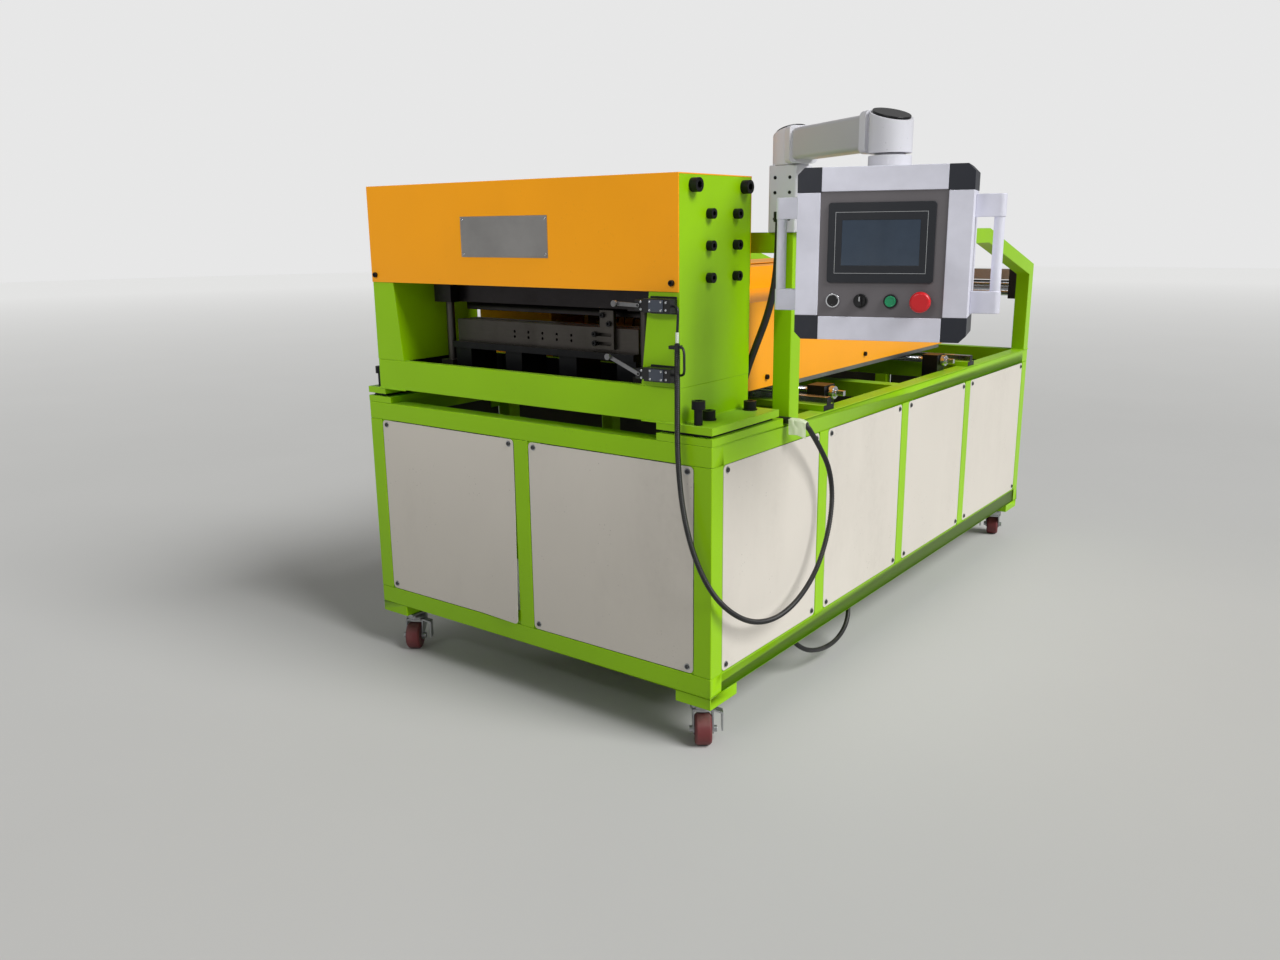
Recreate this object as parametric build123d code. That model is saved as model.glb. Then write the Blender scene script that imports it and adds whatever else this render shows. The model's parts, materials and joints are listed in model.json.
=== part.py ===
from build123d import *
import os
from math import cos, pi, radians, sin, tan

os.makedirs("parts", exist_ok=True)

# Modelling frame: X runs right along the short front, Y to the rear, Z up from the floor.
# The front left corner of the base frame is at X 0, Y 0 while the pieces are made.

# Base frame of square tube
frame_width = 1200.0
frame_length = 2320.0
frame_top = 772.0
tube = 50.0
front_stile_shift = 2.0
first_stile = 559.0
stile_pitch = 551.0
stile_count = 3
first_cross_member = 592.0
last_cross_member = 1690.0
cross_member_count = 3
foot_block_width = 104.0
foot_block_length = 122.0
foot_block_height = 32.0

# Cover sheets between the tubes
panel_sheet = 2.0
panel_gap = 2.0
panel_recess = 1.0
panel_corner = 12.0
bent_panel_start = 380.0
bent_panel_fold = 146.0
bent_panel_reach = 9.0
bent_panel_middle_reach = 0.6
bent_panel_top_reach = 0.2
tab_size = 40.0
tab_sheet = 4.0

# Casters
caster_plate = 6.0
caster_inset = 68.0
caster_plate_width = 84.0
caster_plate_length = 104.0
wheel_diameter = 80.0
wheel_width = 42.0
wheel_edge = 5.0
wheel_hub_diameter = 34.0
wheel_hub_overhang = 1.0
caster_trail = 28.0
fork_sheet = 4.0
fork_side_gap = 1.5
fork_crown_gap = 5.0
fork_crown_thickness = 6.0
fork_race_diameter = 62.0
fork_race_height = 22.0
fork_edge_inset = 4.0
fork_shoulder = 6.0
king_pin_diameter = 12.0
axle_diameter = 10.0
axle_head = 8.0
axle_head_diameter = 17.0
axle_boss = 26.0
brake_reach = 24.0
brake_drop = 8.0
brake_length = 58.0
brake_width = 24.0
brake_sheet = 4.0
caster_turns = {"front_right": 37.0, "front_left": 33.0, "rear_right": -165.0, "rear_left": 160.0}

# Running fits and clearances
running_fit = 0.05
bolt_clearance = 0.5
near_gap = 0.3

# Height at which the sheet runs, above the base frame
pass_line_rise = 244.0

# Shear portal across the front
portal_left = 54.0
portal_right_margin = 90.0
portal_depth = 306.0
portal_height = 603.0
mouth_rise = 102.0
column_foot = 109.0
column_head = 85.0
portal_beam_height = 84.0
portal_beam_plate = 20.0
foot_pad = 18.0
foot_shim = 8.0
foot_plate = 18.0
right_foot_width = 157.0
left_foot_width = 94.0
left_plate_overlap = 20.0
foot_pad_overhang = 22.0
shim_inset = 12.0
top_beam_ahead = 64.0
top_beam_behind = 95.0
top_beam_gap = 4.0
top_beam_height = 190.0
cover_sheet = 3.0
cover_joint = 0.5

# Portal bolts
large_bolt = 20.0
large_bolt_head = 32.0
large_bolt_height = 20.0
small_bolt = 14.0
small_bolt_head = 24.0
small_bolt_height = 16.0
hexagon_share = 0.45
bolt_depth = 60.0
large_bolt_drop = 23.0
large_bolt_front = 52.0
large_bolt_back_margin = 35.0
small_bolt_drops = (85.0, 157.0, 230.0)
small_bolt_front = 119.0
small_bolt_back_margin = 71.0
washer_diameter = 37.0
washer_thickness = 3.0
raised_bolt_stand = 37.0
right_raised_bolt = (51.0, 20.0)
right_low_bolt = (68.0, 90.0)
right_back_bolt_inset = 58.0
left_raised_bolt = (25.0, 30.0)
left_back_bolt_inset = 30.0
back_foot_bolt_margin = 44.0

# Cutting tool in the mouth
tool_length = 640.0
blade_centre = 160.0
blade_thickness = 15.4
blade_rise = 24.0
blade_left_inset = 8.0
blade_right_inset = 12.0
blade_side_gap = 0.3
die_bar = 30.0
die_bar_drop = 2.0
die_bar_height = 61.0
die_hole = 8.0
die_hole_pitch = 50.5
die_hole_count = 5
die_hole_drops = (27.0, 41.0)
bed_half_depth = 60.0
bed_plate = 17.0
pedestal_width = 60.0
pedestal_inset = 10.0
pedestal_count = 4
ram_rise = 46.0
ram_half_depth = 35.0
bush_width = 66.0
bush_wall = 28.0
guide_rod_diameter = 24.0
guide_rod_ahead = 42.0
guide_rod_gap = 24.0
rod_foot = 46.0
trough_end_gap = 52.0
rod_foot_height = 64.0
press_cylinder_diameter = 100.0
press_cylinder_height = 54.0
press_cylinder_offset = 250.0
press_rod_diameter = 28.0
press_cap = 4.0
press_rod_end = 6.0
edge_guide_margin = 69.0
edge_guide_width = 75.0
edge_guide_drop = 55.0
edge_guide_rise = 43.0
edge_guide_thickness = 12.0
edge_guide_slot = 9.0
edge_guide_slot_inset = 7.0
edge_guide_slot_drops = (41.0, 18.0)
edge_guide_notch_width = 31.0
edge_guide_notch_height = 43.0
edge_guide_hole = 12.0
edge_guide_hole_places = ((4.0, 12.0), (25.0, 33.0))

# Limit switches on the right column
switch_margin = 6.0
switch_length = 74.0
switch_height = 32.0
switch_depth = 28.0
switch_rises = (-85.0, 72.0)
switch_head_length = 24.0
switch_head_height = 24.0
switch_plate = 2.0
switch_plate_margin = 4.0
lever_pivot_inset = 10.0
lever_width = 9.0
lever_thickness = 3.0
lever_roller = 15.0
lever_pin = 6.0
lower_lever_length = 92.0
upper_lever_length = 64.0
lower_lever_rise = 22.0
upper_lever_rise = 2.0

# Guard loops of square tube on the side rails
guard_gap = 52.0
guard_slope_length = 533.0
guard_height = 473.0
guard_rear_height = 333.0
guard_bend_inset = 7.0

# Entry guide between the rear posts of the guard
entry_back_margin = 5.0
entry_beam_depth = 40.0
entry_beam_rise = 28.0
entry_beam_height = 40.0
entry_block_width = 29.0
entry_block_drop = 46.0
entry_block_rise = 74.0
entry_block_extra = 3.0
entry_lower_diameter = 36.0
entry_upper_diameter = 24.0
entry_sheet_gap = 0.5
entry_journal = 16.0
entry_journal_reach = 20.0
entry_end_gap = 2.0

# Cross slides and lead screws for the moving row
way_pad = 16.0
way_pad_width = 60.0
way_margin = 6.0
rail_width = 25.0
rail_height = 20.0
runner_length = 70.0
runner_width = 50.0
runner_roof = 18.0
runner_skirt_gap = 4.0
screw_diameter = 22.0
screw_drop = 19.5
screw_inner_reach = 100.0
screw_margin = 4.0
screw_collar_gap = 4.0
screw_collar_width = 14.0
screw_collar_diameter = 36.0
screw_square = 14.0
screw_square_length = 22.0
front_screw_offset = 88.0
rear_screw_offset = 175.0
bearing_width = 54.0
bearing_length = 62.0
bearing_drop = 30.0
bearing_rise = 20.5
nut_width = 50.0
nut_length = 44.0

# Rows of forming rolls, mirrored about the middle of the frame
row_front_reach = 32.0
row_back_reach = 40.0
row_plate = 14.0
row_inner = 60.0
station_count = 4
first_station_offset = 108.0
last_station_offset = 120.0
stand_length = 90.0
stand_sheet = 20.0
stand_gap = 10.0
stand_spacing = 145.0
stand_rise = 46.0
roll_inner = 55.0
roll_width = 90.0
lower_roll = 110.0
upper_roll = 64.0
roll_groove = 6.0
roll_groove_width = 30.0
groove_side_gap = 1.0
sheet_gap = 1.0
lower_shaft = 30.0
upper_shaft = 24.0
shaft_end = 12.0
spacer_length = 310.0
spacer_inset = 20.0

# Folded hoods over the rows
hood_sheet = 2.0
hood_lip = 12.0
hood_shoulder_rise = 52.0
hood_outer = 459.0
hood_step = 150.0
hood_front_gap = 24.0
hood_back_reach = 170.0
right_hood_rise = 121.0
right_hood_inner = -40.0
left_hood_rise = 126.0
left_hood_inner = -60.0
hood_slot_rise = 29.0
hood_slot_reach = 170.0
hood_end_inset = 5.0
hood_strip = 30.0
hood_strip_sheet = 6.0

# Drive in the base
motor_floor_overhang = 4.0
motor_floor_left = 250.0
motor_floor_width = 260.0
motor_floor_sheet = 12.0
gearbox_width = 160.0
gearbox_length = 170.0
gearbox_height = 200.0
gearbox_offset = 159.0
motor_diameter = 170.0
motor_length = 260.0
motor_cover_diameter = 150.0
motor_cover_length = 50.0
drive_shaft_diameter = 32.0
drive_shaft_length = 60.0
drive_shaft_end = 10.0
sprocket_diameter = 110.0
sprocket_width = 14.0

# Swing arm
bracket_width = 80.0
bracket_height = 158.0
bracket_round = 8.0
elbow_diameter = 88.0
elbow_height = 90.0
elbow_slope = 30.0
elbow_cap = 5.0
elbow_cap_inset = 5.0
arm_length = 432.5
arm_turn = -33.5
arm_tube_width = 60.0
arm_tube_height = 72.0
arm_tube_rise = 10.0
arm_tube_round = 10.0
arm_tube_overlap = 6.0
arm_socket = 8.0
arm_socket_length = 24.0
arm_socket_low = 2.0
arm_socket_top = 6.0
arm_socket_round = 12.0
pivot_pin = 40.0
pivot_pin_length = 45.0
pivot_gap = 0.3

# Operator panel
panel_width = 352.0
panel_height = 350.0
panel_depth = 124.0
panel_drop = 26.5
panel_turn = 15.4
panel_axis_depth = 65.0
panel_band = 48.5
panel_side_band = 48.5
panel_corner_block = 50.0
panel_chamfer = 14.0
face_recess = 3.0
face_plate = 14.0
screen_left = 66.5
screen_down = 70.5
bezel_width = 215.0
bezel_height = 161.0
bezel_depth = 5.0
bezel_round = 6.0
glass_width = 157.0
glass_height = 91.0
glass_recess = 1.0
control_down = 268.5
control_places = (80.5, 138.0, 199.5, 260.5)
control_ring = 29.0
control_ring_height = 5.0
control_bore = 22.6
control_cap = 22.0
control_depth = 9.0
control_travel = 4.0
control_end_gap = 1.0
cap_stand = 4.0
selector_grip = 7.0
selector_grip_inset = 1.0
selector_grip_height = 9.0
stop_head = 42.0
stop_head_height = 13.0
stop_head_round = 5.8
stop_head_stand = 8.0
handle_diameter = 21.0
handle_length = 237.0
handle_rise = 57.0
handle_arm = 45.0
handle_arm_depth = 24.0
handle_stand = 57.0
panel_flange = 88.0
panel_flange_height = 22.0
panel_neck = 62.0

# Cables and their fittings
loom_diameter = 14.0
conduit_diameter = 18.0
lead_diameter = 6.0
bend_share = 0.45
tie_diameter = 12.0
tie_arm = 4.0
tie_arm_overlap = 14.0
tie_arm_inset = 6.0
gland_diameter = 22.0
gland_length = 24.0
clamp_width = 22.0
rail_gland_diameter = 18.0
rail_gland_inner = 40.0
rail_gland_outer = 16.0
rail_gland_width = 16.0
conduit_gland_diameter = 26.0
conduit_gland_arm = 24.0
conduit_gland_step = 2.0

# Heights worked out from the sizes above
fork_crown_low = wheel_diameter + fork_crown_gap
fork_crown_top = fork_crown_low + fork_crown_thickness
race_low = fork_crown_top + near_gap
race_top = fork_crown_top + fork_race_height
caster_height = race_top + caster_plate
axle_height = wheel_diameter / 2
bottom_rail_low = caster_height + foot_block_height
bay_low = bottom_rail_low + tube
rail_top_low = frame_top - tube
bay_height = rail_top_low - bay_low
pass_line = frame_top + pass_line_rise
portal_top = frame_top + portal_height
mouth_top = pass_line + mouth_rise
plate_top = frame_top + foot_pad + foot_shim + foot_plate
bed_floor = plate_top + portal_beam_plate
column_low = plate_top + portal_beam_height
top_beam_low = mouth_top + top_beam_gap
top_beam_top = top_beam_low + top_beam_height
die_bar_top = pass_line - die_bar_drop
die_bar_low = die_bar_top - die_bar_height
blade_low = pass_line + blade_rise
ram_low = pass_line + ram_rise
switch_levels = [pass_line + rise for rise in switch_rises]
guard_top = frame_top + guard_height
guard_rear_top = frame_top + guard_rear_height
rail_low = frame_top + way_pad
rail_top = rail_low + rail_height
row_plate_low = rail_top + runner_roof
row_plate_top = row_plate_low + row_plate
screw_axis_height = row_plate_low - screw_drop
stand_top = pass_line + stand_rise
lower_axis = pass_line - lower_roll / 2
upper_axis = pass_line + sheet_gap + upper_roll / 2
hood_low = row_plate_low + hood_lip
hood_shoulder = pass_line + hood_shoulder_rise
hood_slot_top = pass_line + hood_slot_rise
arm_low = guard_top + bracket_height
panel_top = arm_low - panel_drop

# Places worked out from the sizes above
row_centre = frame_width / 2
front_stile = frame_width / 2 + front_stile_shift
stiles = [first_stile + stile_pitch * i for i in range(stile_count)]
cross_member_pitch = (last_cross_member - first_cross_member) / (cross_member_count - 1)
cross_members = [first_cross_member + cross_member_pitch * i for i in range(cross_member_count)]
portal_right = frame_width - portal_right_margin
portal_centre = (portal_left + portal_right) / 2
right_foot_left = frame_width - right_foot_width
tool_left = portal_centre - tool_length / 2
tool_right = portal_centre + tool_length / 2
blade_front = blade_centre - blade_thickness / 2
blade_back = blade_centre + blade_thickness / 2
front_bar_back = blade_front - blade_side_gap
rear_bar_front = blade_back + blade_side_gap
bed_front = blade_centre - bed_half_depth
bed_back = blade_centre + bed_half_depth
guide_rod_front = blade_centre - guide_rod_ahead
guide_rod_offset = tool_length / 2 + guide_rod_gap
switch_right = portal_right - switch_margin
switch_left = switch_right - switch_length
switch_head_left = switch_left - switch_head_length
switch_front = -switch_plate - switch_depth
lever_pivot = switch_head_left + lever_pivot_inset
guard_front = portal_depth + guard_gap
guard_back = frame_length - guard_slope_length
entry_back = frame_length - entry_back_margin
entry_front = entry_back - entry_beam_depth
entry_y = (entry_front + entry_back) / 2
ways = (first_cross_member, last_cross_member)
way_outer = frame_width - way_margin
bearing_right = frame_width - tube
screw_outer_end = frame_width - screw_margin
front_screw = first_cross_member + front_screw_offset
rear_screw = last_cross_member - rear_screw_offset
row_front = first_cross_member - row_front_reach
row_back = last_cross_member + row_back_reach
first_station = first_cross_member + first_station_offset
station_pitch = (last_cross_member - last_station_offset - first_station) / (station_count - 1)
stations = [first_station + station_pitch * i for i in range(station_count)]
stand_inner = roll_inner + roll_width + stand_gap
stand_outer = stand_inner + stand_spacing
hood_front = portal_depth + hood_front_gap
hood_back = row_back + hood_back_reach
motor_floor_front = stiles[-2] - tube / 2 - motor_floor_overhang
motor_floor_back = stiles[-1] + tube / 2
gearbox_centre = motor_floor_front + gearbox_offset
arm_post_x = frame_width - tube / 2
arm_post_y = guard_front + tube / 2
panel_x = arm_post_x + arm_length * cos(radians(arm_turn))
panel_y = arm_post_y + arm_length * sin(radians(arm_turn))

nodes = {}


# Shared shapes
def block(x0, x1, y0, y1, z0, z1):
    """Bar between two opposite corners."""
    return Pos((x0 + x1) / 2, (y0 + y1) / 2, (z0 + z1) / 2) * Box(x1 - x0, y1 - y0, z1 - z0)


def upright_rod(x, y, diameter, z0, z1):
    return Pos(x, y, (z0 + z1) / 2) * Cylinder(diameter / 2, z1 - z0)


def cross_rod(y, z, diameter, x0, x1):
    """Round bar lying along X."""
    return Pos((x0 + x1) / 2, y, z) * Rot(0, 90, 0) * Cylinder(diameter / 2, x1 - x0)


def deep_rod(x, z, diameter, y0, y1):
    """Round bar lying along Y."""
    return Pos(x, (y0 + y1) / 2, z) * Rot(90, 0, 0) * Cylinder(diameter / 2, y1 - y0)


def side_profile(points, x0, x1):
    """Outline in Y and Z, thick along X."""
    outline = Plane.YZ * make_face(Polyline(*points, close=True))
    return Pos(x0, 0, 0) * extrude(outline, amount=x1 - x0, dir=(1, 0, 0))


def front_profile(points, y0, y1):
    """Outline in X and Z, thick along Y."""
    outline = Plane.XZ * make_face(Polyline(*points, close=True))
    return Pos(0, y0, 0) * extrude(outline, amount=y1 - y0, dir=(0, 1, 0))


def bolt(shank, head, height, length):
    """Socket head bolt: head on the plane Z 0, shank below it."""
    socket = Pos(0, 0, height / 2) * extrude(RegularPolygon(shank * hexagon_share, 6), amount=height)
    top = Pos(0, 0, height / 2) * Cylinder(head / 2, height)
    return top - socket + Pos(0, 0, -length / 2) * Cylinder(shank / 2, length)


def mirrored(shape):
    """The same shape on the other side of the rows' centre plane."""
    return mirror(shape, about=Plane.YZ.offset(row_centre))


def row_x(offset):
    return row_centre + offset


# Base frame
def ring(z0, z1):
    """Four tubes of one level: whole at the ends, cut between them at the sides."""
    inner = frame_width - tube
    tubes = []
    for y in (0, frame_length - tube):
        tubes.append(block(0, frame_width, y, y + tube, z0, z1))
    for x in (0, inner):
        tubes.append(block(x, x + tube, tube, frame_length - tube, z0, z1))
    return tubes


def cross_tube(y, z0, z1):
    return block(tube, frame_width - tube, y - tube / 2, y + tube / 2, z0, z1)


def base_top_frame():
    members = [cross_tube(y, rail_top_low, frame_top) for y in cross_members]
    return ring(rail_top_low, frame_top) + members


def base_bottom_frame():
    members = [cross_tube(y, bottom_rail_low, bay_low) for y in stiles]
    feet = []
    for x in (0, frame_width - foot_block_width):
        for y in (0, frame_length - foot_block_length):
            corner = (x, x + foot_block_width, y, y + foot_block_length)
            feet.append(block(*corner, caster_height, bottom_rail_low))
    return ring(bottom_rail_low, bay_low) + members + feet


def bays(centres, length):
    """Clear openings between the corner posts and the stiles of one side."""
    edges = [tube]
    for centre in centres:
        edges += [centre - tube / 2, centre + tube / 2]
    edges.append(length - tube)
    return list(zip(edges[::2], edges[1::2]))


def sides():
    """Each side's place, its stiles seen from outside and its length."""
    left_stiles = [frame_length - y for y in reversed(stiles)]
    quarter = 90
    return {
        "front": (Pos(0, 0, 0), [front_stile], frame_width),
        "right": (Pos(frame_width, 0, 0) * Rot(0, 0, quarter), stiles, frame_length),
        "rear": (Pos(frame_width, frame_length, 0) * Rot(0, 0, 2 * quarter), [row_centre], frame_width),
        "left": (Pos(0, frame_length, 0) * Rot(0, 0, -quarter), left_stiles, frame_length),
    }


def corner_tabs(start, end):
    """Four small plates behind the corners of one sheet."""
    y0 = panel_recess + panel_sheet
    tabs = []
    for x0, x1 in ((start, start + tab_size), (end - tab_size, end)):
        for z0 in (bay_low, rail_top_low - tab_size):
            tabs.append(block(x0, x1, y0, y0 + tab_sheet, z0, z0 + tab_size))
    return tabs


def base_uprights():
    posts = []
    for x in (0, frame_width - tube):
        for y in (0, frame_length - tube):
            posts.append(block(x, x + tube, y, y + tube, bay_low, rail_top_low))
    tabs = []
    for place, centres, length in sides().values():
        for centre in centres:
            stile = block(centre - tube / 2, centre + tube / 2, 0, tube, bay_low, rail_top_low)
            posts.append(place * stile)
        for start, end in bays(centres, length):
            tabs += [place * tab for tab in corner_tabs(start, end)]
    return posts + tabs


def flat_cover(start, end):
    """Rounded sheet that fills one bay."""
    outline = RectangleRounded(end - start - 2 * panel_gap, bay_height - 2 * panel_gap, panel_corner)
    sheet = extrude(Plane.XZ * outline, amount=-panel_sheet)
    return Pos((start + end) / 2, panel_recess, bay_low + bay_height / 2) * sheet


def bent_cover(start, end):
    """Front left sheet, its lower right corner pulled outwards."""
    x0 = start + panel_gap
    x1 = end - panel_gap
    bend = x1 - bent_panel_fold
    levels = [bay_low, bay_low + bent_panel_start, rail_top_low]
    reaches = [bent_panel_reach, bent_panel_middle_reach, bent_panel_top_reach]
    layers = []
    for level, reach in zip(levels, reaches):
        y0 = panel_recess
        y1 = panel_recess + panel_sheet
        outside = [(x0, y0), (bend, y0), (x1, y0 - reach)]
        inside = [(x1, y1 - reach), (bend, y1), (x0, y1)]
        layers.append(Pos(0, 0, level) * make_face(Polyline(*outside, *inside, close=True)))
    sheet = loft(layers, ruled=True)
    outline = RectangleRounded(x1 - x0, bay_height - 2 * panel_gap, panel_corner)
    cutter = extrude(Plane.XZ * outline, amount=tube, both=True)
    return sheet & (Pos((x0 + x1) / 2, 0, bay_low + bay_height / 2) * cutter)


def cover_panels():
    sheets = []
    for name, (place, centres, length) in sides().items():
        for index, (start, end) in enumerate(bays(centres, length)):
            bent = name == "front" and index == 0
            sheet = bent_cover(start, end) if bent else flat_cover(start, end)
            sheets.append(place * sheet)
    return sheets


# Casters
def caster_centres():
    near = caster_inset
    right = frame_width - caster_inset
    back = frame_length - caster_inset
    return {
        "front_right": (right, near),
        "front_left": (near, near),
        "rear_right": (right, back),
        "rear_left": (near, back),
    }


fork_inner = wheel_width / 2 + fork_side_gap
fork_outer = fork_inner + fork_sheet


def caster_plates():
    """Top plates with their fixed race and king pin."""
    plates = []
    for x, y in caster_centres().values():
        plate = Pos(x, y, caster_height - caster_plate / 2)
        plate *= Box(caster_plate_width, caster_plate_length, caster_plate)
        plate += upright_rod(x, y, fork_race_diameter, race_low, race_top)
        plate += upright_rod(x, y, king_pin_diameter, fork_crown_low, race_low)
        plates.append(plate)
    return plates


def fork_leg(x0, x1):
    """Tapered side plate, from the crown to the axle."""
    boss = axle_boss / 2
    spread = fork_race_diameter / 2 - fork_edge_inset
    outline = Polygon(
        (-spread, fork_crown_top),
        (spread, fork_crown_top),
        (spread, fork_crown_low - fork_shoulder),
        (-caster_trail + boss, axle_height),
        (-caster_trail - boss, axle_height),
        align=None,
    )
    outline += Pos(-caster_trail, axle_height) * Circle(boss)
    return Pos(x0, 0, 0) * extrude(Plane.YZ * outline, amount=x1 - x0, dir=(1, 0, 0))


def caster_fork():
    """Fork about its swivel axis, the wheel trailing towards -Y, with axle and brake lever."""
    spread = fork_race_diameter / 2 - fork_edge_inset
    fork = upright_rod(0, 0, fork_race_diameter, fork_crown_low, fork_crown_top)
    fork += block(-fork_outer, fork_outer, -spread, spread, fork_crown_low, fork_crown_top)
    fork += fork_leg(fork_inner, fork_outer)
    fork += fork_leg(-fork_outer, -fork_inner)
    bore = king_pin_diameter + 2 * running_fit
    fork -= upright_rod(0, 0, bore, fork_crown_low, fork_crown_top)
    axle = cross_rod(-caster_trail, axle_height, axle_diameter, -fork_outer, fork_outer)
    nut_end = fork_outer + axle_head
    fork += axle
    fork += cross_rod(-caster_trail, axle_height, axle_head_diameter, -nut_end, -fork_outer)
    fork += cross_rod(-caster_trail, axle_height, axle_head_diameter, fork_outer, nut_end)
    inside = brake_reach - brake_sheet
    lever = front_profile(
        [(0, 0), (brake_reach, -brake_drop), (brake_reach, -brake_length), (inside, -brake_length),
         (inside, -brake_drop - brake_sheet), (0, -brake_sheet)],
        -brake_width, 0,
    )
    return fork + Pos(fork_outer, -fork_sheet, fork_crown_top) * lever


def caster_wheel():
    """Tyre with rounded edges, hub and bore, about the axle along X."""
    radius = wheel_diameter / 2
    half = wheel_width / 2
    hub = half + wheel_hub_overhang
    hub_radius = wheel_hub_diameter / 2
    bore = axle_diameter / 2 + running_fit
    outline = Polyline(
        (-hub, bore), (-hub, hub_radius), (-half, hub_radius), (-half, radius - wheel_edge),
        (-half + wheel_edge, radius), (half - wheel_edge, radius), (half, radius - wheel_edge),
        (half, hub_radius), (hub, hub_radius), (hub, bore), close=True,
    )
    wheel = revolve(make_face(outline), Axis.X)
    return Pos(0, -caster_trail, axle_height) * wheel


# Shear portal
def portal_feet():
    """Pads on the rails, dark shims and the base plates, bored for the bolts."""
    pad_top = frame_top + foot_pad
    shim_top = pad_top + foot_shim
    right_foot = (right_foot_left, frame_width, frame_width)
    left_foot = (0, left_foot_width, portal_left + left_plate_overlap)
    shim_back = portal_depth - shim_inset
    feet = []
    for x0, pad_x1, plate_x1 in (right_foot, left_foot):
        feet.append(block(x0, pad_x1, 0, portal_depth + foot_pad_overhang, frame_top, pad_top))
        feet.append(block(x0 + shim_inset, plate_x1 - shim_inset, shim_inset, shim_back, pad_top, shim_top))
        feet.append(block(x0, plate_x1, 0, portal_depth, shim_top, plate_top))
    for x, y, stand in foot_bolts():
        hole = upright_rod(x, y, large_bolt + 2 * bolt_clearance, frame_top, plate_top)
        feet = [piece - hole for piece in feet]
    return feet


def foot_bolts():
    """Place of each base bolt and how far its head stands above the plate."""
    raised_x, raised_y = right_raised_bolt
    low_x, low_y = right_low_bolt
    back = portal_depth - back_foot_bolt_margin
    return [
        (frame_width - raised_x, raised_y, raised_bolt_stand),
        (frame_width - low_x, low_y, washer_thickness),
        (frame_width - right_back_bolt_inset, back, washer_thickness),
        (*left_raised_bolt, raised_bolt_stand),
        (left_back_bolt_inset, back, washer_thickness),
    ]


def portal_lower_beam():
    """Box beam between the plates, open on top where the bed and the rods' feet stand."""
    reach = guide_rod_offset + rod_foot / 2 + trough_end_gap
    back = portal_depth - portal_beam_plate
    trough = block(portal_centre - reach, portal_centre + reach, portal_beam_plate, back, bed_floor, column_low)
    return block(portal_left, portal_right, 0, portal_depth, plate_top, column_low) - trough


def column():
    """Left column: straight outside, tapered on the side of the mouth."""
    outline = [
        (portal_left, column_low), (portal_left + column_foot, column_low),
        (portal_left + column_head, mouth_top), (portal_left + column_head, portal_top),
        (portal_left, portal_top),
    ]
    return front_profile(outline, 0, portal_depth)


def side_bolts():
    """Place, size and side of each bolt through the columns."""
    bolts = []
    for y in (large_bolt_front, portal_depth - large_bolt_back_margin):
        level = portal_top - large_bolt_drop
        bolts.append((y, level, large_bolt, large_bolt_head, large_bolt_height))
    for drop in small_bolt_drops:
        for y in (small_bolt_front, portal_depth - small_bolt_back_margin):
            bolts.append((y, portal_top - drop, small_bolt, small_bolt_head, small_bolt_height))
    return bolts


def portal_frame():
    """Both columns and the top beam between them."""
    left = column()
    for y, z, shank, head, height in side_bolts():
        bore = shank + 2 * bolt_clearance
        left -= cross_rod(y, z, bore, portal_left, portal_left + bolt_depth + bolt_clearance)
    right = mirror(left, about=Plane.YZ.offset(portal_centre))
    beam = block(
        portal_left + column_head, portal_right - column_head, blade_centre - top_beam_ahead,
        blade_centre + top_beam_behind, top_beam_low, top_beam_top,
    )
    for x in press_places():
        bore = press_rod_diameter + 2 * running_fit
        beam -= upright_rod(x, blade_centre, bore, top_beam_low, top_beam_top)
    return [left, right, beam]


def portal_covers():
    """Folded sheets over the front, the rear and the top."""
    top = portal_top + cover_sheet
    half = portal_depth / 2
    front = side_profile(
        [(-cover_sheet, mouth_top), (0, mouth_top), (0, portal_top), (half - cover_joint, portal_top),
         (half - cover_joint, top), (-cover_sheet, top)],
        portal_left, portal_right,
    )
    return [front, mirror(front, about=Plane.XZ.offset(-half))]


def portal_bolts():
    bolts = []
    for y, z, shank, head, height in side_bolts():
        one = bolt(shank, head, height, bolt_depth)
        bolts.append(Pos(portal_right, y, z) * Rot(0, 90, 0) * one)
        bolts.append(Pos(portal_left, y, z) * Rot(0, -90, 0) * one)
    for x, y, stand in foot_bolts():
        length = plate_top + stand - frame_top
        one = bolt(large_bolt, large_bolt_head, large_bolt_height, length)
        bolts.append(Pos(x, y, plate_top + stand) * one)
        if stand == washer_thickness:
            washer = upright_rod(x, y, washer_diameter, plate_top, plate_top + washer_thickness)
            bolts.append(washer - upright_rod(x, y, large_bolt + 2 * near_gap, plate_top, plate_top + stand))
    return bolts


# Cutting tool
def press_places():
    return (portal_centre - press_cylinder_offset, portal_centre + press_cylinder_offset)


def rod_places():
    return (portal_centre - guide_rod_offset, portal_centre + guide_rod_offset)


def lower_die():
    """Bed on pedestals with two bored bars and the blade slot between them."""
    bed_low = die_bar_low - bed_plate
    pieces = [block(tool_left, tool_right, bed_front, bed_back, bed_low, die_bar_low)]
    pitch = (tool_length - pedestal_width) / (pedestal_count - 1)
    front = bed_front + pedestal_inset
    back = bed_back - pedestal_inset
    for i in range(pedestal_count):
        x = tool_left + pitch * i
        pieces.append(block(x, x + pedestal_width, front, back, bed_floor, bed_low))
    bar_front = front_bar_back - die_bar
    front_bar = block(tool_left, tool_right, bar_front, front_bar_back, die_bar_low, die_bar_top)
    first_hole = portal_centre - die_hole_pitch * (die_hole_count - 1) / 2
    for drop in die_hole_drops:
        for i in range(die_hole_count):
            x = first_hole + die_hole_pitch * i
            front_bar -= deep_rod(x, pass_line - drop, die_hole, bar_front, front_bar_back)
    rear_bar_back = rear_bar_front + die_bar
    rear_bar = block(tool_left, tool_right, rear_bar_front, rear_bar_back, die_bar_low, die_bar_top)
    return pieces + [front_bar, rear_bar]


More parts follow.
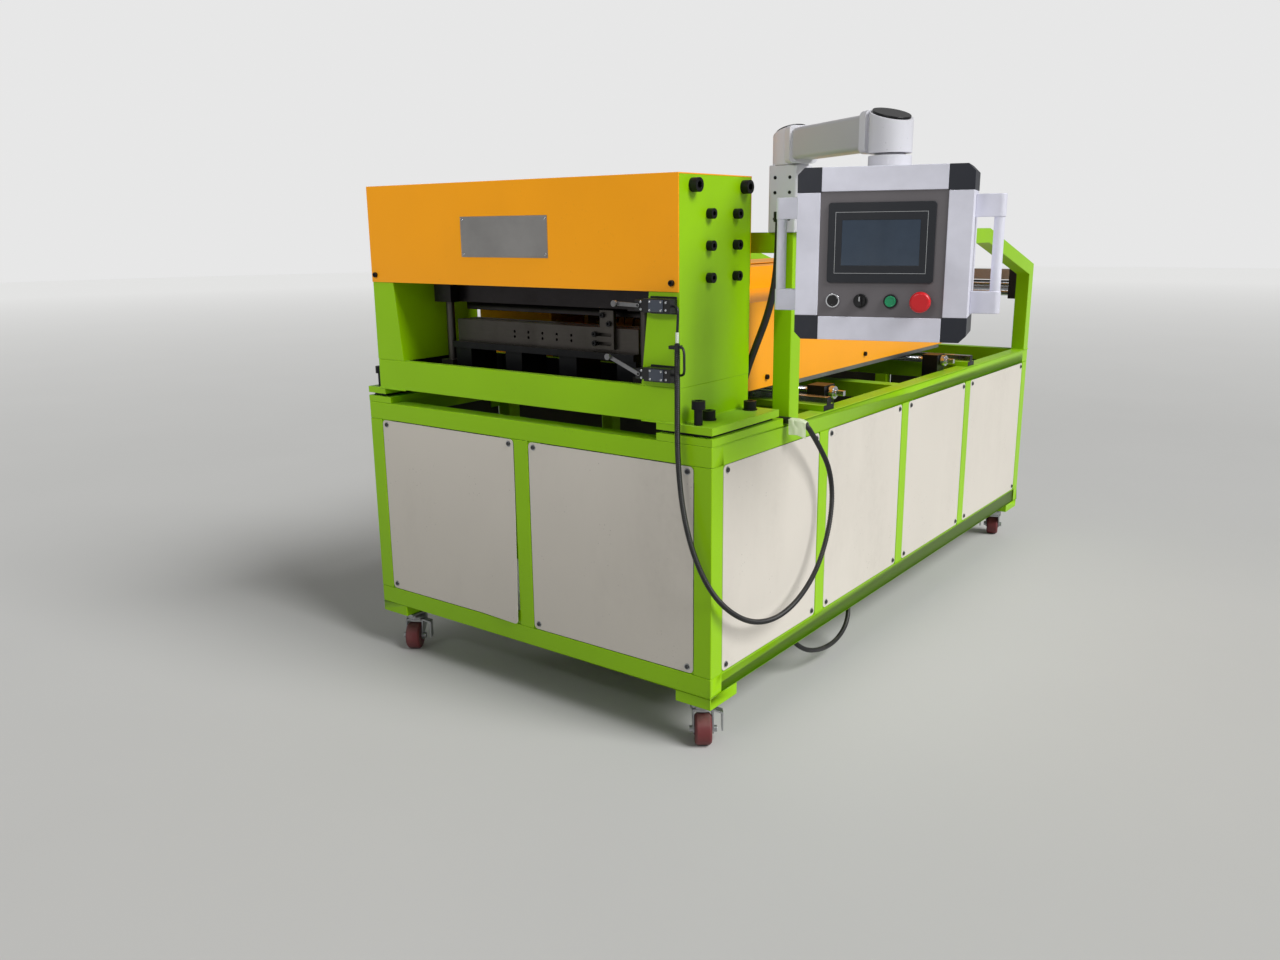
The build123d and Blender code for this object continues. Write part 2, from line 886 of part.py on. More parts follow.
def edge_guide():
    """Slotted plate on the front bar that lines up the sheet's edge."""
    back = front_bar_back - die_bar
    front = back - edge_guide_thickness
    right = tool_right - edge_guide_margin
    left = right - edge_guide_width
    top = pass_line + edge_guide_rise
    plate = block(left, right, front, back, pass_line - edge_guide_drop, top)
    notch_low = top - edge_guide_notch_height
    plate -= block(left, left + edge_guide_notch_width, front, back, notch_low, top)
    middle = (left + right) / 2
    slot = SlotOverall(edge_guide_width - 2 * edge_guide_slot_inset, edge_guide_slot)
    for drop in edge_guide_slot_drops:
        plate -= Pos(middle, back, pass_line - drop) * extrude(Plane.XZ * slot, amount=edge_guide_thickness)
    for x, drop in edge_guide_hole_places:
        plate -= deep_rod(middle + x, top - drop, edge_guide_hole, front, back)
    return plate


def guide_rods():
    """Round guides on foot blocks, up to the top beam."""
    foot_top = bed_floor + rod_foot_height
    half = rod_foot / 2
    rods = []
    for x in rod_places():
        foot = block(x - half, x + half, guide_rod_front - half, guide_rod_front + half, bed_floor, foot_top)
        rods.append(foot + upright_rod(x, guide_rod_front, guide_rod_diameter, foot_top, top_beam_low))
    return rods


def press_cylinders():
    """Short cylinders on the top beam, bored for their rods."""
    cylinders = []
    top = top_beam_top + press_cylinder_height
    for x in press_places():
        body = upright_rod(x, blade_centre, press_cylinder_diameter, top_beam_top, top)
        bore = press_rod_diameter + 2 * running_fit
        cylinders.append(body - upright_rod(x, blade_centre, bore, top_beam_top, top - press_cap))
    return cylinders


def ram():
    """Upper beam with bushes, blade and press rods."""
    left, right = rod_places()
    half = bush_width / 2
    back = blade_centre + ram_half_depth
    beam = block(left - half, right + half, blade_centre - ram_half_depth, back, ram_low, mouth_top)
    for x in rod_places():
        beam += block(x - half, x + half, guide_rod_front - bush_wall, back, ram_low, mouth_top)
    bore = guide_rod_diameter + 2 * running_fit
    for x in rod_places():
        beam -= upright_rod(x, guide_rod_front, bore, ram_low, mouth_top)
    blade_left = tool_left + blade_left_inset
    blade_right = tool_right - blade_right_inset
    beam += block(blade_left, blade_right, blade_front, blade_back, blade_low, ram_low)
    rod_top = top_beam_top + press_cylinder_height - press_cap - press_rod_end
    for x in press_places():
        beam += upright_rod(x, blade_centre, press_rod_diameter, mouth_top, rod_top)
    return beam


# Limit switches
def limit_switches():
    """Two switch bodies with heads and pivot pins, on thin plates."""
    half = switch_height / 2
    plate_half = half + switch_plate_margin
    head_half = switch_head_height / 2
    switches = []
    for z in switch_levels:
        plate = block(switch_left, switch_right, -switch_plate, 0, z - plate_half, z + plate_half)
        body = block(switch_left, switch_right, switch_front, -switch_plate, z - half, z + half)
        head_top = z + head_half
        head = block(switch_head_left, switch_left, switch_front, -switch_plate, z - head_half, head_top)
        body += head
        pin_front = switch_front - lever_thickness - near_gap
        body += deep_rod(lever_pivot, z, lever_pin, pin_front, switch_front)
        switches += [plate, body]
    return switches


def switch_lever(z, length, rise):
    """Lever with a roller at its end, about the pin of one switch."""
    outline = SlotOverall(length + lever_width, lever_width)
    arm = Pos(-length / 2, 0) * outline - Circle(lever_pin / 2 + running_fit)
    bar = extrude(Plane.XZ * arm, amount=lever_thickness)
    roller = extrude(Plane.XZ * Circle(lever_roller / 2), amount=lever_roller / 2)
    bar += Pos(-length, -lever_thickness, 0) * roller
    turned = Rot(0, rise, 0) * bar
    return Pos(lever_pivot, switch_front - near_gap, z) * turned


# Guard
def guard_loop(x0, x1):
    slope = (guard_top - guard_rear_top) / (frame_length - guard_back)
    outer = [
        (guard_front, frame_top), (guard_front, guard_top), (guard_back, guard_top),
        (frame_length, guard_rear_top), (frame_length, frame_top),
    ]
    inner_back = guard_back - guard_bend_inset
    inner_rear = guard_top - tube - slope * (frame_length - tube - inner_back)
    inner = [
        (guard_front + tube, frame_top), (guard_front + tube, guard_top - tube),
        (inner_back, guard_top - tube), (frame_length - tube, inner_rear),
        (frame_length - tube, frame_top),
    ]
    return side_profile(outer, x0, x1) - side_profile(inner, x0, x1)


def guard_right():
    return guard_loop(frame_width - tube, frame_width)


def guard_left():
    bar_back = guard_front + tube
    bar = block(tube, frame_width - tube, guard_front, bar_back, guard_top - tube, guard_top)
    return [guard_loop(0, tube), bar]


# Entry guide
def entry_axes():
    """Heights of the lower and the upper roller, the sheet running between them."""
    lower = pass_line - entry_lower_diameter / 2
    upper = pass_line + entry_sheet_gap + entry_upper_diameter / 2
    return (lower, upper)


def entry_guide():
    """Flat beam between two end blocks that carry the rollers."""
    inner = tube + entry_block_width
    beam_low = pass_line + entry_beam_rise
    beam_top = beam_low + entry_beam_height
    pieces = [block(inner, frame_width - inner, entry_front, entry_back, beam_low, beam_top)]
    front = entry_front - entry_block_extra
    back = entry_back + entry_block_extra
    for x0 in (tube, frame_width - inner):
        x1 = x0 + entry_block_width
        end = block(x0, x1, front, back, pass_line - entry_block_drop, pass_line + entry_block_rise)
        for z in entry_axes():
            end -= cross_rod(entry_y, z, entry_journal + 2 * running_fit, x0, x1)
        pieces.append(end)
    return pieces


def entry_roller(diameter, z):
    inner = tube + entry_block_width
    body_end = inner + entry_end_gap
    journal_end = inner - entry_journal_reach
    body = cross_rod(entry_y, z, diameter, body_end, frame_width - body_end)
    return body + cross_rod(entry_y, z, entry_journal, journal_end, frame_width - journal_end)


# Cross slides
def slide_ways():
    """Pads and rails on the cross members, and the screws' outer bearings."""
    pad_half = way_pad_width / 2
    rail_half = rail_width / 2
    pieces = []
    for y in ways:
        pieces.append(block(row_centre, way_outer, y - pad_half, y + pad_half, frame_top, rail_low))
        pieces.append(block(row_centre, way_outer, y - rail_half, y + rail_half, rail_low, rail_top))
    half = bearing_length / 2
    low = frame_top - bearing_drop
    top = screw_axis_height + bearing_rise
    bearing_left = bearing_right - bearing_width
    bore = screw_diameter + 2 * running_fit
    for y in (front_screw, rear_screw):
        bearing = block(bearing_left, bearing_right, y - half, y + half, low, top)
        pieces.append(bearing - cross_rod(y, screw_axis_height, bore, bearing_left, bearing_right))
    return pieces


def lead_screw(y):
    """Screw with its collar and the square end for a crank."""
    z = screw_axis_height
    round_end = screw_outer_end - screw_square_length
    collar_left = bearing_right + screw_collar_gap
    screw = cross_rod(y, z, screw_diameter, row_centre + screw_inner_reach, round_end)
    screw += cross_rod(y, z, screw_collar_diameter, collar_left, collar_left + screw_collar_width)
    half = screw_square / 2
    return screw + block(round_end, screw_outer_end, y - half, y + half, z - half, z + half)


# Forming rows, made as the right row
def lower_forming_roll(y):
    """Grooved roll on its shaft."""
    x0 = row_x(roll_inner)
    x1 = x0 + roll_width
    groove = (roll_width - roll_groove_width) / 2
    roll = cross_rod(y, lower_axis, lower_roll, x0, x1)
    rim = cross_rod(y, lower_axis, lower_roll, x0 + groove, x1 - groove)
    roll -= rim - cross_rod(y, lower_axis, lower_roll - 2 * roll_groove, x0 + groove, x1 - groove)
    return on_shaft(roll, y, lower_axis, lower_shaft)


def upper_forming_roll(y):
    """Ribbed roll on its shaft; the rib runs in the lower roll's groove."""
    x0 = row_x(roll_inner)
    x1 = x0 + roll_width
    rib = (roll_width - roll_groove_width) / 2 + groove_side_gap
    roll = cross_rod(y, upper_axis, upper_roll, x0, x1)
    roll += cross_rod(y, upper_axis, upper_roll + 2 * roll_groove, x0 + rib, x1 - rib)
    return on_shaft(roll, y, upper_axis, upper_shaft)


def on_shaft(roll, y, z, diameter):
    """A roll bored for its shaft, and the shaft through it and the stand."""
    shaft = cross_rod(y, z, diameter, row_x(roll_inner), row_x(stand_outer + stand_sheet + shaft_end))
    return [roll - shaft, shaft]


def station_stand(y, clearance):
    """Two bored plates that carry the shafts of one station."""
    half = stand_length / 2
    plates = []
    for offset in (stand_inner, stand_outer):
        x0 = row_x(offset)
        x1 = x0 + stand_sheet
        plate = block(x0, x1, y - half, y + half, row_plate_top, stand_top)
        plate -= cross_rod(y, lower_axis, lower_shaft + 2 * clearance, x0, x1)
        plate -= cross_rod(y, upper_axis, upper_shaft + 2 * clearance, x0, x1)
        plates.append(plate)
    return plates


def forming_row():
    """Plate, stands and the fixed stations' rolls of one row, with the strip that holds its hood."""
    x1 = row_x(hood_outer - hood_sheet)
    plate = block(row_x(row_inner), x1, row_front, row_back, row_plate_low, row_plate_top)
    strip_top = row_plate_top + hood_strip
    strip = block(x1 - hood_strip_sheet, x1, row_front, row_back, row_plate_top, strip_top)
    pieces = [plate, strip]
    for y in stations[:-1]:
        pieces += station_stand(y, 0)
        pieces += lower_forming_roll(y)
        pieces += upper_forming_roll(y)
    return pieces + station_stand(stations[-1], running_fit)


def runner(x, y):
    """Slide block astride one rail."""
    half = runner_width / 2
    end = runner_length / 2
    body = block(x - end, x + end, y - half, y + half, rail_low + runner_skirt_gap, row_plate_low)
    rail_half = rail_width / 2 + near_gap
    return body - block(x - end, x + end, y - rail_half, y + rail_half, rail_low, rail_top + near_gap)


def lead_nut(y):
    """Nut under the row's plate, bored for the lead screw."""
    x = row_x((hood_outer + row_inner) / 2)
    x0 = x - nut_width / 2
    x1 = x + nut_width / 2
    half = nut_length / 2
    nut = block(x0, x1, y - half, y + half, screw_axis_height - half, row_plate_low)
    return nut - cross_rod(y, screw_axis_height, screw_diameter + 2 * running_fit, x0, x1)


def right_roll_row():
    """Sliding row with its runners and lead screw nuts."""
    row = forming_row()
    for y in ways:
        for x in (row_x(row_inner) + runner_length, row_x(hood_outer) - 2 * runner_length):
            row.append(runner(x, y))
    for y in (front_screw, rear_screw):
        row.append(lead_nut(y))
    return row


def left_roll_row():
    """Fixed row on spacers that stand on the cross members."""
    row = [mirrored(piece) for piece in forming_row()]
    half = tube / 2
    x1 = row_x(-row_inner) - spacer_inset
    for y in cross_members:
        row.append(block(x1 - spacer_length, x1, y - half, y + half, frame_top, row_plate_low))
    return row


def hood_outline(inner, top, inset):
    """Outline of a hood in X and Z; an inset gives the inside of the sheet."""
    outer = row_x(hood_outer) - inset
    step = row_x(hood_step) - inset
    low = hood_low
    return [
        (outer, low), (outer, hood_shoulder - inset), (step, hood_shoulder - inset),
        (step, top - inset), (row_x(inner), top - inset), (row_x(inner), low),
    ]


def hood(inner, top, inset):
    """Folded sheet with end plates that leave the sheet's path free."""
    front = hood_front + inset
    back = hood_back - inset
    shell = front_profile(hood_outline(inner, top, 0), front, back)
    shell -= front_profile(hood_outline(inner, top, hood_sheet), front, back)
    outer = row_x(hood_outer) - hood_sheet
    step = row_x(hood_step) - hood_sheet
    shoulder = hood_shoulder - hood_sheet
    roof = top - hood_sheet
    end = [
        (outer, hood_low), (outer, shoulder), (step, shoulder), (step, roof), (row_x(inner), roof),
        (row_x(inner), hood_slot_top), (row_x(hood_slot_reach), hood_slot_top),
        (row_x(hood_slot_reach), hood_low),
    ]
    shell += front_profile(end, front, front + hood_sheet)
    shell += front_profile(end, back - hood_sheet, back)
    return shell


# Drive
def drive_motor():
    """Gear motor on a floor plate between two bottom cross members."""
    floor_right = motor_floor_left + motor_floor_width
    floor_top = bay_low + motor_floor_sheet
    floor = block(motor_floor_left, floor_right, motor_floor_front, motor_floor_back, bay_low, floor_top)
    x = (motor_floor_left + floor_right) / 2
    side = x + gearbox_width / 2
    front = gearbox_centre - gearbox_length / 2
    motor_front = gearbox_centre + gearbox_length / 2
    motor_back = motor_front + motor_length
    motor = block(x - gearbox_width / 2, side, front, motor_front, floor_top, floor_top + gearbox_height)
    axis = floor_top + gearbox_height / 2
    motor += deep_rod(x, axis, motor_diameter, motor_front, motor_back)
    motor += deep_rod(x, axis, motor_cover_diameter, motor_back, motor_back + motor_cover_length)
    shaft_end_x = side + drive_shaft_length
    motor += cross_rod(gearbox_centre, axis, drive_shaft_diameter, side, shaft_end_x)
    sprocket_right = shaft_end_x - drive_shaft_end
    sprocket_left = sprocket_right - sprocket_width
    motor += cross_rod(gearbox_centre, axis, sprocket_diameter, sprocket_left, sprocket_right)
    return [floor, motor]


# Swing arm
def arm_bracket():
    """Square column on the guard's front post, bored for the arm's pivot."""
    half = bracket_width / 2
    x0 = arm_post_x - half
    y0 = arm_post_y - half
    post = block(x0, x0 + bracket_width, y0, y0 + bracket_width, guard_top, arm_low - pivot_gap)
    post = fillet(post.edges().filter_by(Axis.Z), bracket_round)
    bore_low = arm_low - pivot_pin_length - pivot_gap
    return post - upright_rod(arm_post_x, arm_post_y, pivot_pin + 2 * running_fit, bore_low, arm_low)


def elbow(tube_side):
    """Round elbow with a slanted top, high on the side of the tube, and its cap."""
    radius = elbow_diameter / 2
    top = arm_low + elbow_height
    body = upright_rod(0, 0, elbow_diameter, arm_low, top)
    above = top + elbow_height
    cut = [(-radius, top - elbow_slope), (radius, top), (radius, above), (-radius, above)]
    wedge = front_profile(cut, -radius, radius)
    body -= wedge
    cap_diameter = elbow_diameter - 2 * elbow_cap_inset
    cap = upright_rod(0, 0, cap_diameter, arm_low + elbow_height / 2, top + elbow_cap)
    cap = (cap & wedge) - Pos(0, 0, elbow_cap) * wedge
    return Rot(0, 0, tube_side) * body, Rot(0, 0, tube_side) * cap


def swing_arm():
    """Rectangular tube between two elbows; made along X from the post, then turned."""
    far, far_cap = elbow(0)
    near, near_cap = elbow(180)
    low = arm_low + arm_tube_rise
    top = low + arm_tube_height
    half = arm_tube_width / 2
    reach = elbow_diameter / 2 - arm_tube_overlap
    bar = block(reach, arm_length - reach, -half, half, low, top)
    bar = fillet(bar.edges().filter_by(Axis.X), arm_tube_round)
    wide = half + arm_socket
    sockets = []
    for x0 in (reach, arm_length - reach - arm_socket_length):
        x1 = x0 + arm_socket_length
        socket = block(x0, x1, -wide, wide, arm_low + arm_socket_low, top + arm_socket_top)
        sockets.append(fillet(socket.edges().filter_by(Axis.X), arm_socket_round))
    pin = upright_rod(0, 0, pivot_pin, arm_low - pivot_pin_length, arm_low)
    body = far + pin + bar + sockets + Pos(arm_length, 0, 0) * near
    bore = pivot_pin + 2 * running_fit
    body -= upright_rod(arm_length, 0, bore, arm_low, arm_low + pivot_pin_length + near_gap)
    place = Pos(arm_post_x, arm_post_y, 0) * Rot(0, 0, arm_turn)
    caps = [far_cap, Pos(arm_length, 0, 0) * near_cap]
    return [place * body] + [place * cap for cap in caps]


# Operator panel, made facing -Y with its front on Y 0, then turned about the swivel axis
def panel_place():
    return Pos(panel_x, panel_y, panel_top) * Rot(0, 0, panel_turn) * Pos(0, -panel_axis_depth, 0)


def panel_box(x0, x1, z0, z1, y0, y1):
    """Block by its place from the panel's left edge and down from its top."""
    return block(x0 - panel_width / 2, x1 - panel_width / 2, y0, y1, -z1, -z0)


def panel_shell():
    """The whole housing's outline, with chamfered corners."""
    shell = panel_box(0, panel_width, 0, panel_height, 0, panel_depth)
    return chamfer(shell.edges().filter_by(Axis.Y), panel_chamfer)


def corner_cubes():
    size = panel_corner_block
    cubes = []
    for x0 in (0, panel_width - size):
        for z0 in (0, panel_height - size):
            cubes.append(panel_box(x0, x0 + size, z0, z0 + size, 0, panel_depth))
    return cubes


def panel_housing():
    """Aluminium bands with a back, the flange on top and the swivel pin."""
    shell = panel_shell()
    for cube in corner_cubes():
        shell -= cube
    shell -= face_pocket()
    axis = Pos(0, panel_axis_depth, 0)
    neck_top = arm_low - panel_top - pivot_gap
    shell += axis * upright_rod(0, 0, panel_flange, 0, panel_flange_height)
    shell += axis * upright_rod(0, 0, panel_neck, panel_flange_height, neck_top)
    shell += axis * upright_rod(0, 0, pivot_pin, neck_top, neck_top + pivot_pin_length)
    return [panel_place() * shell]


def face_pocket():
    """Space for the front plate."""
    return panel_box(
        panel_side_band, panel_width - panel_side_band, panel_band, panel_height - panel_band, 0,
        face_recess + face_plate,
    )


def panel_corners():
    pocket = face_pocket()
    return [panel_place() * ((cube & panel_shell()) - pocket) for cube in corner_cubes()]


def on_face(index):
    """Place of one control, Z pointing out of the front plate."""
    x = control_places[index] - panel_width / 2
    return panel_place() * Pos(x, face_recess, -control_down) * Rot(90, 0, 0)


def panel_face():
    """Front plate with a blind bore and a ring for each control."""
    plate = panel_box(
        panel_side_band, panel_width - panel_side_band, panel_band, panel_height - panel_band,
        face_recess, face_recess + face_plate,
    )
    plate = panel_place() * plate
    for index in range(len(control_places)):
        place = on_face(index)
        plate += place * Pos(0, 0, control_ring_height / 2) * Cylinder(control_ring / 2, control_ring_height)
        depth = control_ring_height + control_depth
        plate -= place * Pos(0, 0, control_ring_height - depth / 2) * Cylinder(control_bore / 2, depth)
    return plate


def touch_screen():
    """Bezel on the front plate with the glass set back in it."""
    x1 = screen_left + bezel_width
    z1 = screen_down + bezel_height
    front = face_recess - bezel_depth
    bezel = panel_box(screen_left, x1, screen_down, z1, front, face_recess)
    bezel = fillet(bezel.edges().filter_by(Axis.Y), bezel_round)
    side = (bezel_width - glass_width) / 2
    rim = (bezel_height - glass_height) / 2
    glass = (screen_left + side, x1 - side, screen_down + rim, z1 - rim)
    bezel -= panel_box(*glass, front, front + glass_recess)
    return panel_place() * bezel


def control_cap_solid():
    """Round cap that stands out of its ring and reaches down into the bore."""
    low = -control_depth + control_travel + control_end_gap
    return upright_rod(0, 0, control_cap, low, control_ring_height + cap_stand)


def push_button(index):
    return on_face(index) * control_cap_solid()


def selector():
    """Round knob with a raised grip bar."""
    top = control_ring_height + cap_stand
    grip = Box(selector_grip, control_cap - 2 * selector_grip_inset, selector_grip_height)
    return on_face(1) * (control_cap_solid() + Pos(0, 0, top + selector_grip_height / 2) * grip)


def stop_button():
    """Mushroom head on its stem."""
    low = control_ring_height + stop_head_stand
    head = upright_rod(0, 0, stop_head, low, low + stop_head_height)
    head = fillet(head.edges().group_by(Axis.Z)[-1], stop_head_round)
    neck = upright_rod(0, 0, control_cap, control_ring_height, low)
    return on_face(3) * (control_cap_solid() + neck + head)


def panel_handles():
    """Upright grip on two arms at each side."""
    y = panel_depth / 2
    half = handle_arm_depth / 2
    top = -handle_rise
    low = top - handle_length
    handles = []
    for side in (-1, 1):
        x = side * (panel_width / 2 + handle_stand - handle_diameter / 2)
        x0, x1 = sorted((side * panel_width / 2, x))
        grip = upright_rod(x, y, handle_diameter, low, top)
        for z0 in (low, top - handle_arm):
            grip += block(x0, x1, y - half, y + half, z0, z0 + handle_arm)
            grip += upright_rod(x, y, handle_arm_depth, z0, z0 + handle_arm)
        handles.append(panel_place() * grip)
    return handles


# Cables
def cable(points, diameter):
    """Tube along straight runs joined by tangent arcs as large as the runs allow."""
    route = [Vector(*p) for p in points]
    runs = [b - a for a, b in zip(route, route[1:])]
    radii = []
    for before, after in zip(runs, runs[1:]):
        half_turn = radians(before.get_angle(after)) / 2
        radii.append(bend_share * min(before.length, after.length) / tan(half_turn))
    path = FilletPolyline(*route, radius=radii)
    section = Plane(origin=route[0], z_dir=runs[0]) * Circle(diameter / 2)
    solid = sweep(section, path=path)
    wanted = path.length * pi * diameter ** 2 / 4
    print("cable", round(path.length, 1), "mm long, radii", [round(r) for r in radii],
          "volume ratio", round(solid.volume / wanted, 4))
    return solid


def from_right(points):
    """Places given from the right side of the base, in the modelling frame."""
    return [(frame_width + x, y, z) for x, y, z in points]


def from_arm_post(points):
    """Places given from the axis of the guard's post that carries the arm."""
    return [(arm_post_x + x, arm_post_y + y, z) for x, y, z in points]


loom_route = from_right([
    (-81, -22, 986), (-81, -22, 880), (-78, -26, 740), (-62, -29, 620), (-32, -30, 520),
    (12, -24, 435), (38, 28, 370), (48, 120, 318), (50, 235, 296), (50, 350, 315),
    (50, 446, 372), (49, 505, 462), (49, 522, 552), (49, 497, 636), (50, 436, 702),
    (54, 388, 742), (56, 353, 772), (38, 343, 783), (14, 343, 783),
])
under_rail_route = from_right([
    (-61, 505, 165), (-61, 505, 135), (-48, 519, 104), (-33, 562, 74), (-29, 640, 52),
    (-29, 730, 46), (-32, 804, 68), (-44, 850, 104), (-61, 864, 135), (-61, 864, 165),
])
conduit_route = from_arm_post([
    (2, -57, 1270), (2, -57, 1200), (-2, -63, 1120), (-20, -65, 1045), (-49, -65, 975),
    (-77, -65, 905), (-93, -65, 850), (-93, -65, 812),
])
upper_lead_route = from_right([
    (-96, -16, 1088), (-88, -16, 1088), (-82, -18, 1082), (-80, -20, 1071), (-80, -21, 1054),
    (-81, -22, 1030), (-81, -22, 1006),
])
lower_lead_route = from_right([
    (-75, -22, 999), (-67, -22, 999), (-59, -26, 988), (-57, -29, 962), (-62, -21, 941),
    (-76, -9, 931), (-96, -9, 931),
])


def loom_tie():
    """Ring that gathers the leads over the sleeve, on a thin arm from the column."""
    x, y, low = loom_route[0]
    top = upper_lead_route[-1][2]
    arm_left = portal_right - tie_arm_overlap
    arm = block(arm_left, x, y - tie_arm / 2, 0, low + tie_arm_inset, top - tie_arm_inset)
    return upright_rod(x, y, tie_diameter, low, top) + arm


def rail_clamp(end):
    """Clamp block on the inner face of the bottom rail."""
    x, y, z = end
    x1 = frame_width - tube
    half = clamp_width / 2
    return block(x1 - clamp_width, x1, y - half, y + half, z, z + gland_length)


def rail_gland():
    """Gland beside the guard's post, on a small foot."""
    x, y, z = loom_route[-1]
    x0 = frame_width - rail_gland_inner
    x1 = frame_width - rail_gland_outer
    half = rail_gland_width / 2
    return cross_rod(y, z, rail_gland_diameter, x0, x) + block(x0, x1, y - half, y + half, frame_top, z)


def conduit_gland():
    """Gland on the front of the arm's bracket."""
    x, y, z = conduit_route[0]
    top = z + gland_length
    half = conduit_gland_arm / 2
    arm = block(x - half, x + half, y, arm_post_y - bracket_width / 2, z + conduit_gland_step, top)
    return upright_rod(x, y, conduit_gland_diameter, z, top) + arm


def cable_fittings():
    """The loom's tie, clamps under the rail, rail gland and the conduit's two glands."""
    x, y, z = conduit_route[-1]
    foot_gland = upright_rod(x, y, gland_diameter, frame_top + foot_pad, z)
    clamps = [rail_clamp(under_rail_route[0]), rail_clamp(under_rail_route[-1])]
    return [loom_tie(), *clamps, rail_gland(), conduit_gland(), foot_gland]


# Everything by node name
nodes["base_top_frame"] = base_top_frame()
nodes["base_bottom_frame"] = base_bottom_frame()
nodes["base_uprights"] = base_uprights()
nodes["cover_panels"] = cover_panels()
nodes["caster_plates"] = caster_plates()
for corner, (x, y) in caster_centres().items():
    caster_spot = Pos(x, y, 0) * Rot(0, 0, caster_turns[corner])
    nodes[corner + "_fork"] = caster_spot * caster_fork()
    nodes[corner + "_wheel"] = caster_spot * caster_wheel()
nodes["portal_feet"] = portal_feet()
nodes["portal_lower_beam"] = portal_lower_beam()
nodes["portal_frame"] = portal_frame()
nodes["portal_covers"] = portal_covers()
nodes["portal_bolts"] = portal_bolts()
nodes["lower_die"] = lower_die()
nodes["edge_guide"] = edge_guide()
nodes["guide_rods"] = guide_rods()
nodes["press_cylinders"] = press_cylinders()
nodes["ram"] = ram()
nodes["limit_switches"] = limit_switches()
lower_level, upper_level = switch_levels
nodes["lower_switch_lever"] = switch_lever(lower_level, lower_lever_length, lower_lever_rise)
nodes["upper_switch_lever"] = switch_lever(upper_level, upper_lever_length, upper_lever_rise)
nodes["guard_right"] = guard_right()
nodes["guard_left"] = guard_left()
nodes["entry_guide"] = entry_guide()
nodes["entry_lower_roller"] = entry_roller(entry_lower_diameter, entry_axes()[0])
nodes["entry_upper_roller"] = entry_roller(entry_upper_diameter, entry_axes()[1])
nodes["slide_ways"] = slide_ways()
nodes["front_lead_screw"] = lead_screw(front_screw)
nodes["rear_lead_screw"] = lead_screw(rear_screw)
nodes["left_roll_row"] = left_roll_row()
nodes["right_roll_row"] = right_roll_row()
nodes["right_lower_roll"] = lower_forming_roll(stations[-1])
nodes["right_upper_roll"] = upper_forming_roll(stations[-1])
nodes["left_lower_roll"] = [mirrored(piece) for piece in nodes["right_lower_roll"]]
nodes["left_upper_roll"] = [mirrored(piece) for piece in nodes["right_upper_roll"]]
nodes["left_hood"] = mirrored(hood(left_hood_inner, pass_line + left_hood_rise, 0))
nodes["right_hood"] = hood(right_hood_inner, pass_line + right_hood_rise, hood_end_inset)
nodes["drive_motor"] = drive_motor()
nodes["arm_bracket"] = arm_bracket()
nodes["swing_arm"] = swing_arm()
nodes["panel_housing"] = panel_housing()
nodes["panel_corners"] = panel_corners()
nodes["panel_face"] = panel_face()
nodes["touch_screen"] = touch_screen()
nodes["panel_handles"] = panel_handles()
nodes["black_button"] = push_button(0)
nodes["selector_switch"] = selector()
nodes["green_button"] = push_button(2)
nodes["stop_button"] = stop_button()
nodes["cable_fittings"] = cable_fittings()

cables = {
    "switch_loom_cable": cable(loom_route, loom_diameter),
    "under_rail_cable": cable(under_rail_route, loom_diameter),
    "arm_conduit_cable": cable(conduit_route, conduit_diameter),
    "upper_switch_lead": cable(upper_lead_route, lead_diameter),
    "lower_switch_lead": cable(lower_lead_route, lead_diameter),
}


def solids_of(shape):
    """All the solids of a node."""
    pieces = shape if isinstance(shape, list) else [shape]
    return [solid for piece in pieces for solid in piece.solids()]


def footprint_middle(shapes):
    """Middle of the footprint of all the rigid pieces."""
    boxes = [solid.bounding_box() for shape in shapes for solid in solids_of(shape)]
    x = (min(box.min.X for box in boxes) + max(box.max.X for box in boxes)) / 2
    y = (min(box.min.Y for box in boxes) + max(box.max.Y for box in boxes)) / 2
    return x, y


# The origin moves to the middle of the footprint, on the floor
middle_x, middle_y = footprint_middle(nodes.values())
print("footprint middle", round(middle_x, 3), round(middle_y, 3))
shift = Pos(-middle_x, -middle_y, 0)
for name, shape in {**nodes, **cables}.items():
    export_step(Compound([shift * solid for solid in solids_of(shape)]), f"parts/{name}.step")
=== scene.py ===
# %% [markdown]
# # A roof panel roll forming machine
# The machine is a green tube base on casters. A shear portal stands across its front end, two rows of
# forming rolls lie under orange hoods behind it, and an operator panel hangs from a swing arm. The
# measured model already holds every size and joint, so this lesson only dresses it: rounded edges,
# paint and its wear, and the small parts that are too fine for the measured model.
# %% Load the measured model
import json
from math import cos, pi, radians, sin

import bmesh
import bpy
from mathutils import Matrix, Vector
from mathutils import noise as clouds


